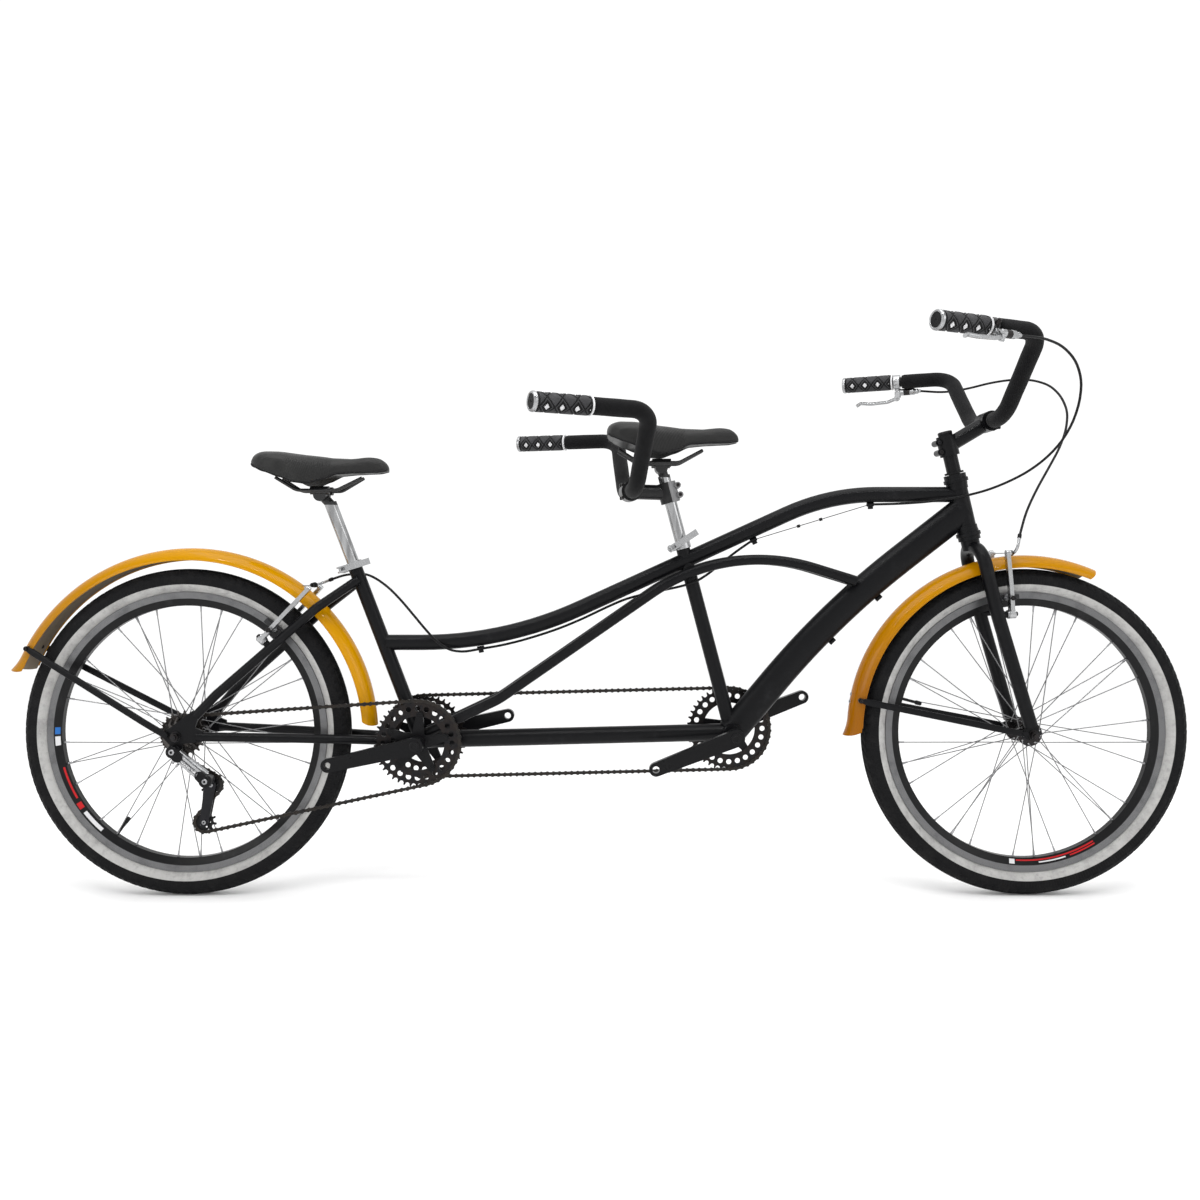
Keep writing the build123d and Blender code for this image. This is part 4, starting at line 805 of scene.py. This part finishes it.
def inflate(obj, origin):
    """The cover swells under its foam by cloth simulation, held at its moulded shell."""
    scene = bpy.context.scene
    mesh = obj.data
    rest = np.zeros(len(mesh.vertices) * 3, np.float32)
    mesh.vertices.foreach_get("co", rest)
    rest = rest.reshape(-1, 3)
    normals = np.array([v.normal[:] for v in mesh.vertices])
    held = obj.vertex_groups.new(name="held")
    edge = np.array([origin.z + curve_at(SKIRT, min(1, max(0, (p[0] - origin.x) / SADDLE_LONG)))
                     for p in rest])
    keep = np.where((normals[:, 2] < -0.25) | (rest[:, 2] < edge + 0.004))[0]
    held.add([int(i) for i in keep], 1.0, "REPLACE")
    cloth = obj.modifiers.new("swell", "CLOTH")
    cloth.settings.use_pressure = True
    cloth.settings.uniform_pressure_force = 4.0
    cloth.settings.effector_weights.gravity = 0.0
    cloth.settings.vertex_group_mass = "held"
    cloth.settings.tension_stiffness = 25
    cloth.settings.compression_stiffness = 25
    cloth.settings.bending_stiffness = 1.5
    cloth.point_cache.frame_start = 1
    cloth.point_cache.frame_end = SWELL_FRAMES
    for f in range(1, SWELL_FRAMES + 1):
        scene.frame_set(f)
    swollen = obj.evaluated_get(bpy.context.evaluated_depsgraph_get())
    made = np.zeros(len(mesh.vertices) * 3, np.float32)
    swollen.data.vertices.foreach_get("co", made)
    move = made.reshape(-1, 3) - rest
    size = np.linalg.norm(move, axis=1, keepdims=True)
    move *= np.minimum(1.0, SWELL_MOST / np.maximum(size, 1e-9))
    obj.modifiers.remove(cloth)
    mesh.vertices.foreach_set("co", (rest + move).ravel())
    mesh.update()
    scene.frame_set(1)


def trims(which, origin, body):
    """The moulded shell under a saddle, and the welt along its skirts."""
    line = []
    for i in range(72):
        s = i / 71
        line.append((s, curve_at(WIDE, s) * 0.935, curve_at(SKIRT, s) + 0.0032))
    for tag, side in SIDES.items():
        path = [origin + vec(s * SADDLE_LONG, side * w, z) for s, w, z in line[1:-1]]
        tube(f"{which}_saddle_welt_{tag}", path, 0.0022, black_plastic, body,
             "black_plastic", 12)
    rows, cols = 26, 20
    points = []
    for i in range(rows):
        s = 0.05 + 0.9 * i / (rows - 1)
        w = curve_at(WIDE, s) * 0.80
        low = max(0.0012, curve_at(SKIRT, s) + 0.001)
        for j in range(cols):
            turn = 2 * pi * j / cols
            points.append(origin + vec(s * SADDLE_LONG, w * cos(turn), low + 0.0022 + 0.0018 * sin(turn)))
    piece(f"{which}_saddle_shell", points, ring_faces(rows, cols), black_plastic, body, "black_plastic")


saddle("rear", vec(-0.701, 0, 0.855), "rear_post")
saddle("front", vec(0.014, 0, 0.915), "front_post")

# ---- bar foam and grips ----
CAPTAIN_CLAMP, STOKER_CLAMP = vec(0.794, 0, 0.964), vec(0.061, 0, 0.821)
SEAT_LEAN = radians(14.8)
STOKER_AXIS = vec(0.2688 - (0.819 - 0.330) * tan(SEAT_LEAN), 0, 0.819)
STOKER_TURN = Matrix.Rotation(radians(6.0), 3, "Z")
GRIP_LONG, GRIP_R, FOAM_R, GRIP_ALONG = 0.113, 0.017, 0.0162, 3.6


def half_bar(rider, side):
    tip = -0.214, (0.350 if rider == "captain" else 0.340), 0.131
    points = [vec(x, side * y, z) for x, y, z in ((0, 0, 0), (0, 0.088, 0), (0.004, 0.250, 0.131), tip)]
    if rider == "captain":
        return [CAPTAIN_CLAMP + p for p in points]
    return [STOKER_AXIS + STOKER_TURN @ (STOKER_CLAMP + p - STOKER_AXIS) for p in points]


def grip_height(u, v):
    """Relief at a share u along a grip and v round it, and the finish there: 0 rubber, 1 worn face, 2 inlay.

    The grip has six rows of diamonds round it: every other row is large faces, and the rest are small inlays.
    """
    if u < 0.035 or u > 0.965:
        return 0.0, 0
    along, turned = u * GRIP_ALONG, v * 3.0
    a, b = (along + turned) % 1.0, (along - turned) % 1.0
    row = floor(along + turned) - floor(along - turned)
    edge = min(a, 1 - a, b, 1 - b)
    if edge < 0.055:
        return -0.0006, 0
    if row % 2 == 0:
        return (0.0009, 1) if edge > 0.10 else (0.0005, 1)
    if edge < 0.15:
        return 0.0008, 1
    core = max(abs(a - 0.5), abs(b - 0.5))
    return (0.0007, 2) if core < 0.17 else (-0.0005, 0)


def grips(rider, body):
    parts = []
    for hand, side in SIDES.items():
        tag = f"{rider}_{hand}"
        inner0, inner1, corner, tip = half_bar(rider, side)
        leg = (tip - corner).length
        way = (tip - corner).normalized()
        start = leg - GRIP_LONG
        stop = start - (0.020 if rider == "captain" else 0.001)
        clamp_side = inner0 + (inner1 - inner0).normalized() * 0.029
        route = rounded([clamp_side, inner1, corner, corner + way * stop], [0.110, 0.052])
        total = sum((q - p).length for p, q in zip(route, route[1:]))

        def sleeve(travel, turn, total=total, seed=side * 3.1):
            end = min(travel, total - travel)
            round_off = 0.0016 * max(0.0, 1 - end / 0.0025) ** 2
            dent = noise.noise(vec(travel * 26, cos(turn) * 1.3 + seed, sin(turn) * 1.3))
            wave = noise.noise(vec(travel * 140, cos(turn) * 3, sin(turn) * 3 + seed))
            return FOAM_R - 0.0001 - round_off + dent * 0.00038 + wave * 0.00012

        obj = piece(f"{tag}_foam", *tube_mesh(route, sleeve, 40), foam, body, "foam")
        parts.append(obj)
        facing = (-Y - way * way.dot(-Y)).normalized()
        upward = way.cross(facing)
        upward *= 1 if upward.z > 0 else -1
        tilt = radians(25 if side < 0 else 42)
        a = facing * cos(tilt) + upward * sin(tilt)
        b = way.cross(a)
        rows, cols = 200, 180
        base = corner + way * start
        points, picks = [], []
        for i in range(rows):
            u = i / (rows - 1)
            for j in range(cols):
                turn = 2 * pi * j / cols
                lift, _ = grip_height(u, j / cols)
                reach = (a * cos(turn) + b * sin(turn)) * (GRIP_R + lift)
                points.append(base + way * (0.0038 + u * (GRIP_LONG - 0.0076)) + reach)
        for i in range(rows - 1):
            for j in range(cols):
                picks.append(grip_height((i + 0.5) / (rows - 1), (j + 0.5) / cols)[1])
        picks += [0, 0]
        obj = piece(f"{tag}_grip", points, ring_faces(rows, cols),
                    [grip_rubber, diamond_mat, inlay_mat], body, "foam", picks)
        parts.append(obj)
        collar = [(0, 11.5), (0, 17.6), (0.6, 18.4), (3, 18.4), (3.6, 17.6), (4, 16.5), (4, 11.5)]
        parts.append(lathe(f"{tag}_grip_inner_ring", collar, base, way, inlay_mat, body, "foam", 48))
        end = base + way * (GRIP_LONG - 0.004)
        parts.append(lathe(f"{tag}_grip_end_ring", [(0, 16.5), (0.4, 18), (1.6, 18.6), (4.8, 18.4),
                               (6.8, 17), (7.4, 15), (6.8, 13.8), (6, 13.4), (3, 13.4)], end, way, silver,
                           body, "foam", 48))
        parts.append(lathe(f"{tag}_bar_plug",
                           [(2, 13.6), (6, 13.5), (6.4, 12), (5.6, 7.5), (6.2, 5), (5.6, 2.2), (4, 0)],
                           end, way, grip_rubber, body, "foam", 32))
    for obj in parts:
        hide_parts(f"{rider}_grips")


grips("captain", "steering")
grips("stoker", "front_post")

# ---- mudguard edges, bolts and brackets ----
GUARD_HALF, GUARD_DEEP, GUARD_THICK = 0.0310, 0.0240, 0.0014
GUARD_LIP, GUARD_FLICK = 0.026, 0.009


def mudguard(which, guard, body):
    """A rolled sheet mudguard with rounded ends, whose crown flicks outward below its last stay."""
    centre, crown, first, last = guard
    round_r = (GUARD_HALF ** 2 + GUARD_DEEP ** 2) / (2 * GUARD_DEEP)
    spread = 2 * atan(GUARD_DEEP / GUARD_HALF)
    lip = degrees(GUARD_LIP / crown)
    rows, across = 130, 28
    points = []
    for i in range(rows):
        share = i / (rows - 1)
        ring = []
        for layer in (0.0, GUARD_THICK):
            walk = range(across + 1) if layer == 0.0 else range(across, -1, -1)
            for k in walk:
                t = 2 * k / across - 1
                trim = 1.5 * abs(t) ** 4
                angle = first + trim + (last + lip - first - 2 * trim) * share
                beyond = max(0.0, (angle - last + 1.5) / (lip + 1.5))
                flick = GUARD_FLICK * beyond ** 2 * (1 - 0.75 * abs(t) ** 2)
                turn = t * spread
                r = round_r - layer
                out = crown - round_r + r * cos(turn) + flick
                ring.append(centre + vec(out * cos(radians(angle)), r * sin(turn),
                                out * sin(radians(angle))))
        points += ring
    cols = 2 * (across + 1)
    faces = ring_faces(rows, cols, False)
    for row in (0, rows - 1):
        for k in range(across):
            quad = (row * cols + k, row * cols + k + 1, row * cols + cols - 2 - k,
                    row * cols + cols - 1 - k)
            faces.append(quad)
    sheet = faces[:(rows - 1) * cols]
    picks = [1 if across < f[0] % cols < cols - 1 else 0 for f in sheet] + [0] * (2 * across)
    obj = piece(f"{which}_mudguard", points, faces, [guard_paint[which], primer], body, "fender_paint",
                picks)
    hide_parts(f"{which}_fender")
    return sharpen(obj, 50)


def on_fender(guard, angle, out, y):
    centre, crown = guard[:2]
    turn = radians(angle)
    return centre + vec((crown + out) * cos(turn), y, (crown + out) * sin(turn))


for which, guard, body, last in (("front", FENDER_FRONT, "steering", 169.0),
                                 ("rear", FENDER_REAR, "frame", 151.0)):
    mudguard(which, guard, body)
    for hand, side in SIDES.items():
        tag = f"{which}_{hand}"
        steps = 96
        path = [on_fender(guard, guard[2] + 1.7 + (guard[3] - guard[2] - 0.4) * k / steps, -0.0238,
                          side * 0.0306) for k in range(steps + 1)]
        tube(f"{tag}_guard_bead", path, 0.0015, guard_paint[which], body, "fender_paint", 10)
        hold = on_fender(guard, last, -0.014, side * 0.0375)
        spacer = lathe_mesh([(0, 4.2), (0.6, 4.8), (5.2, 4.8), (5.8, 4.2)],
                            on_fender(guard, last, -0.014, side * 0.0257), Y * side, 20)
        many(f"{tag}_stay_bolt", [screw_mesh(hold, (0, side, 0), 3.4, 3), spacer], dark_bolt, body,
             "silver_alloy")
        eye = vec(STAY_EYE[which].x, side * STAY_EYE[which].y, STAY_EYE[which].z)
        top = on_fender(guard, last, -0.014, side * 0.0331)
        knee = eye + (top - eye) * 0.15 + Y * (side * 0.003)
        flat_stay(f"{tag}_stay_strap", rounded([eye, knee, top], [0.06]), 0.0130, 0.0064, paint, body,
                  "frame_paint")
    many(f"{which}_guard_rivets", [lathe_mesh([(-0.5, 4.2), (0.6, 4.1), (1.5, 2.8), (1.9, 0.2)],
                                       on_fender(guard, a, 0.0, 0),
                                       on_fender(guard, a, 1.0, 0) - on_fender(guard, a, 0, 0), 16)
                                   for a in (last - 1.2, last + 1.2)], bolt_steel, body, "silver_alloy")

# ---- stems, cranks, clamps: their screws ----
finish("stoker_stem", two_tone("stoker_stem_alloy", STOKER_AXIS, vec(cos(SEAT_LEAN), 0, sin(SEAT_LEAN))))
steer_up = vec(-27, 0, 116).normalized()
stem_eye = vec(0.7601, 0, 0.707) + steer_up * 0.2135
seat_dir = vec(-sin(SEAT_LEAN), 0, cos(SEAT_LEAN))
for rider, body, knob, up, turn, fore in (
        ("captain", "steering", stem_eye + vec(-steer_up.z, 0, steer_up.x) * 0.021, steer_up, 0.0, 1),
        ("stoker", "front_post", STOKER_AXIS + vec(seat_dir.z, 0, -seat_dir.x) * 0.022, seat_dir, 6.0, -1)):
    many(f"{rider}_stem_screws",
         [screw_mesh(knob + up * lift - Y * 0.017, -Y, 3.6, 2.2) for lift in (-0.010, 0.010)], dark_bolt,
         body, "black_alloy")
    centre = half_bar(rider, 1)[0]
    aim = Matrix.Rotation(radians(turn), 3, "Z")
    many(f"{rider}_bar_clamp_screws", [screw_mesh(centre + aim @ vec(fore * 0.0150, y, z),
                                           aim @ vec(fore, 0, 0), 3.6, 4.2)
                                       for y in (-0.016, 0.016) for z in (-0.013, 0.013)], dark_bolt, body,
         "black_alloy")
lathe("captain_stem_cap", [(0, 14.6), (3, 14.4), (4.5, 12), (4.5, 4), (2, 4), (2, 0)],
      stem_eye + steer_up * 0.0258, steer_up, dark_bolt, "steering", "black_alloy", 32)

rear_bb, front_bb = vec(-0.366, 0, 0.3143), vec(0.26881, 0, 0.330)
for which, centre in (("rear", rear_bb), ("front", front_bb)):
    for tag, side in SIDES.items():
        lathe(f"{which}_{tag}_crank_cap",
              [(0, 10), (1.2, 9.8), (1.6, 8.8), (1.6, 5.2), (0.6, 4.8), (0.6, 0)],
              centre + Y * (side * 0.0862), (0, side, 0), black_plastic, f"{which}_crankset",
              "black_alloy", 32)


LEVER_DROP = {-1: 40.0, 1: 75.0}


def perch(side):
    """A lever clamp's middle on the bar, the way back along it, and the way out of the clamp."""
    drop = radians(LEVER_DROP[side])
    corner, tip = half_bar("captain", side)[2:]
    back = (tip - corner).normalized()
    start = (tip - corner).length - GRIP_LONG - 0.009
    place = corner + back * start
    outward = (Y * side - back * (side * back.y)).normalized()
    out = outward * cos(drop) - vec(0, 0, 1) * sin(drop)
    return place, back, out


def perch_metal():
    """Black clamps with bright lever bodies."""
    s = bright_metal("lever_body_alloy", (0.37, 0.374, 0.38), 0.27, (4, 1, 1))
    masks = []
    for side in SIDES.values():
        place, _, out = perch(side)
        near = s.step(s.times(s.split()[1], side), -0.001, 0.001)
        away = s.less(s.dot(s.place, tuple(out)), place.dot(out))
        edge = 0.0164 if side < 0 else -0.0300
        masks.append(s.times(s.step(away, edge, edge + 0.0004), near))
    bright = s.plus(*masks)
    alloy = s.mix(s.patches(0.5, 0.8, 80, 4, 0.6), ALLOY, (0.22, 0.22, 0.222))
    s.colour(s.mix(bright, (0.012, 0.012, 0.013), alloy))
    s.metallic(s.math("MULTIPLY_ADD", bright, 0.8, 0.2))
    s.roughness(s.span(s.noise(220, 3), 0.22, 0.38))
    return s.mat


finish("brake_perches", perch_metal())
for tag, side in SIDES.items():
    place, back, out = perch(side)
    barrel = place + out * 0.024
    lathe(f"{tag}_lever_sleeve", [(0, 5.8), (0.6, 6.8), (3.5, 7.8), (12, 8), (12.4, 7.4), (25.6, 7.4),
                                  (26, 8), (34.5, 7.9), (36, 7), (36.4, 6.2)], barrel - back * 0.0402,
          back, silver, "steering", "silver_alloy", 40)
    lathe(f"{tag}_lever_inset", [(0, 7), (0, 7.75), (13, 7.75), (13, 7)], barrel - back * 0.0277, back,
          dark_bolt, "steering", "black_alloy", 40)
    lathe(f"{tag}_lever_adjuster", [(0, 5.3), (1.2, 6), (5.8, 6), (6.6, 4.5), (7.2, 3)],
          barrel - back * 0.0405, -back, silver, "steering", "silver_alloy", 20)
    across = out.cross(back) * side
    lug = place + across * 0.0125 + out * 0.0115
    boss = lathe_mesh([(-6, 4.2), (-5.4, 4.6), (5.4, 4.6), (6, 4.2)], lug, across, 20)
    screw = screw_mesh(lug + across * 0.0060, across, 3.6, 3)
    many(f"{tag}_lever_clamp_screw", [boss, screw], dark_bolt, "steering", "black_alloy")

# ---- brakes: noodles, boots and pivot bolts ----
BOOT_FOLDS = 6
brakes = {
    "front": (vec(0.826, 0, 0.573), 0.044, vec(-0.073, 0, 0.997).normalized(), 0.123, -1,
              vec(0.840, -0.048, 0.730), "steering"),
    "rear": (vec(-0.678, 0, 0.523), 0.046, vec(0.683, 0, 0.731).normalized(), 0.137, 1,
             vec(-0.562, 0.050, 0.641), "frame"),
}
for which, (pivot, arm_y, up, long, side, lead, body) in brakes.items():
    out = vec(up.z, 0, -up.x) if which == "front" else vec(-up.z, 0, up.x)
    top = pivot + up * (long - 0.001) + out * 0.011
    elbow = vec(top.x, side * 0.066, top.z)
    noodle = rounded([lead, elbow, vec(top.x, side * 0.0375, top.z)], [0.014], 0.002)
    tube(f"{which}_noodle", noodle, 0.0030, silver, body, "silver_alloy", 16)
    lathe(f"{which}_noodle_ferrule", [(0, 3.1), (1, 4), (9, 4), (10, 3.1)],
          lead + (lead - elbow).normalized() * 0.004, (elbow - lead).normalized(), black_plastic, body,
          "black_plastic", 16)
    profile = []
    for k in range(29):
        share = k / 28
        profile.append((26.5 * share, 4.7 + sin(share * 2 * pi * BOOT_FOLDS) - 1.2 * share))
    profile = [(0, 0.8)] + profile + [(26.6, 0.9)]
    lathe(f"{which}_cable_boot", profile, (top.x, side * 0.0380, top.z), (0, -side, 0), grip_rubber, body,
          "black_plastic", 20)
    for tag, way in SIDES.items():
        arm_body = f"{which}_arm_{tag}"
        foot = pivot + Y * (way * arm_y)
        many(f"{which}_{tag}_brake_pivot_bolt", [lathe_mesh([(0, 6.2), (0.8, 6.4), (1.2, 4.8)],
                     foot + out * 0.0075, out, 24), screw_mesh(foot + out * 0.0083, out, 4.6, 3)],
             dark_bolt, body, "silver_alloy")
        shoe_y = way * (arm_y + 0.016)
        stud = pivot + up * (0.033 if which == "front" else 0.0265) + Y * shoe_y
        many(f"{which}_{tag}_pad_nut", [nut_mesh(stud - Y * (way * 0.0005), (0, way, 0), 5.6, 4.2)],
             dark_bolt, arm_body, "silver_alloy")
        coils = []
        for k in range(60):
            turn = k / 59 * 2 * pi * 2.5
            reach = (up * cos(turn) + Y * (way * sin(turn))) * 0.0082
            coils.append(foot - out * (0.0066 + 0.003 * k / 59) + reach)
        tube(f"{which}_{tag}_return_spring", coils, 0.0007, bolt_steel, body, "silver_alloy", 8)

# ---- derailleur and hub details ----
hanger = REAR_HUB + vec(-0.001, 0, -0.0275)
many("derailleur_screws", [screw_mesh(hanger - Y * 0.0905, (0, -1, 0), 5.8, 2.8),
                           screw_mesh(vec(-0.780, -0.0790, 0.244), (0, -1, 0), 5.6, 2.8),
                           screw_mesh(hanger + vec(0.004, -0.0865, -0.0180), (-0.62, 0, -0.78), 2.4, 6),
                           screw_mesh(hanger + vec(0.011, -0.0865, -0.0245), (-0.62, 0, -0.78), 2.4, 6)],
     bolt_steel, "frame", "silver_alloy")
knuckle = vec(-0.780, -0.0718, 0.244)
link_way = (knuckle - hanger - vec(0, knuckle.y, 0)).normalized()
link_side = vec(link_way.z, 0, -link_way.x)


def link_plate(start, end, wide, thick):
    """A flat link with rounded ends and softened edges, square to Y."""
    way = (end - start).normalized()
    side = vec(way.z, 0, -way.x)
    outline = []
    for end_at, toward in ((end, 1), (start, -1)):
        for k in range(13):
            turn = pi * (k / 12 - 0.5)
            outline.append((end_at, way * (toward * cos(turn)) + side * (toward * sin(turn))))
    points = []
    soft, deep = 0.0006, thick / 2
    for y, inset in ((-deep, soft), (soft - deep, 0), (deep - soft, 0), (deep, soft)):
        points += [p + d * (wide / 2 - inset) + Y * y for p, d in outline]
    return points, ring_faces(4, len(outline))


top_at, low_at = vec(hanger.x, -0.0865, hanger.z), vec(knuckle.x, -0.0755, knuckle.z)
many("derailleur_links", [link_plate(top_at + link_way * 0.016 + link_side * k,
                                     low_at - link_way * 0.014 + link_side * k, 0.0050, 0.0040)
                          for k in (-0.0062, 0.0062)] + [link_plate(top_at + link_way * 0.020,
             low_at - link_way * 0.018, 0.0022, 0.0030)], silver, "frame", "silver_alloy")
ends = []
for at, r, long in ((top_at, 12.5, 11), (low_at, 13, 10.5)):
    ends.append(lathe_mesh([(0, r - 2.5), (1.2, r - 0.8), (3, r), (long - 3, r), (long - 1.2, r - 0.8),
                            (long, r - 2.5), (long, 6), (long - 1.4, 5.4)], at + Y * 0.0055, -Y, 40))
for at, sign in ((top_at, 1), (low_at, -1)):
    ends.append(link_plate(at + link_way * (sign * 0.004), at + link_way * (sign * 0.015), 0.0200, 0.0080))
many("derailleur_knuckles", ends, black_alloy, "frame", "black_alloy")
coil = []
for k in range(150):
    turn = k / 149 * 2 * pi * 11
    along = 0.019 + (low_at - top_at).length * 0.55 * k / 149
    reach = (link_side * cos(turn) + Y * sin(turn)) * 0.0030
    coil.append(top_at + link_way * along + Y * 0.0048 + reach)
tube("derailleur_spring", coil, 0.00055, bolt_steel, "frame", "silver_alloy", 6)
guide, tension = (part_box("guide_pulley"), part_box("tension_pulley"))
for tag, box in (("guide", guide), ("tension", tension)):
    mid = (box[0] + box[1]) / 2
    many(f"{tag}_pulley_bolt", [screw_mesh(vec(mid.x, -0.0510, mid.z), (0, -1, 0), 4.2, 2.2)], bolt_steel,
         "cage", "silver_alloy")
    lathe(f"{tag}_pulley_shield", [(0, 7.2), (0.3, 8.5), (0.6, 7.2), (0.6, 3.4), (0, 3.4)],
          vec(mid.x, -0.0474, mid.z), (0, -1, 0), bolt_steel, tag, "silver_alloy", 24)


# ---- floor, light ----
def stage():
    wide = 60
    mesh = bpy.data.meshes.new("floor")
    mesh.from_pydata([(-wide, -wide, 0), (wide, -wide, 0), (wide, wide, 0), (-wide, wide, 0)], [],
                     [(0, 1, 2, 3)])
    floor_obj = bpy.data.objects.new("floor", mesh)
    floor_obj.location = (0, 0, -0.0006)
    bpy.context.scene.collection.objects.link(floor_obj)
    s = Surface("pale_floor", 0.9, specular=0.0)
    s.colour(s.mix(s.noise(3, 3), (0.945, 0.945, 0.945), (0.955, 0.955, 0.955)))
    # Painted light: the floor glows, from nothing at 2 m out to full at 7 m, so that its far part is as white
    # as the backdrop.
    painted_floor_glow = s.step(s.dot(s.place, s.place), 2.0 ** 2, 7.0 ** 2)
    s.put("Emission Color", (1.0, 1.0, 1.0))
    s.put("Emission Strength", s.times(painted_floor_glow, 0.15))
    mesh.materials.append(s.mat)
    world = bpy.data.worlds.new("studio")
    bpy.context.scene.world = world
    world.use_nodes = True
    n = Nodes(world.node_tree, "Generated")
    back = next(node for node in n.tree.nodes if node.type == "BACKGROUND")
    back.inputs["Strength"].default_value = 1.08
    _, y, z = n.split()
    shade = n.times(n.times(n.step(z, 0.36, 0.50), n.step(z, 0.86, 0.70)), n.step(y, 0.05, -0.30))
    n.feed(back.inputs["Color"], n.mix(shade, (1, 1, 1), (0.28, 0.28, 0.28)))
    for name, place, aim, wide, deep, watts in (("top", (0.1, -0.5, 3.2), (0, 0, 0.5), 3.6, 2.0, 46),
                                                ("left", (-2.9, -2.6, 1.9), (0, 0, 0.5), 1.8, 1.8, 22),
                                                ("right", (3.1, -2.2, 2.0), (0.3, 0, 0.5), 1.6, 1.8, 16),
                                                ("strip", (0.0, -1.9, 3.0), (0, 0, 0.5), 3.4, 0.04, 26)):
        data = bpy.data.lights.new(name, "AREA")
        data.shape = "RECTANGLE"
        data.size, data.size_y, data.energy = wide, deep, watts
        lamp = bpy.data.objects.new(name, data)
        lamp.location = place
        lamp.rotation_euler = (Vector(aim) - Vector(place)).to_track_quat("-Z", "Y").to_euler()
        bpy.context.scene.collection.objects.link(lamp)
    bpy.context.scene.view_settings.view_transform = "Standard"


stage()
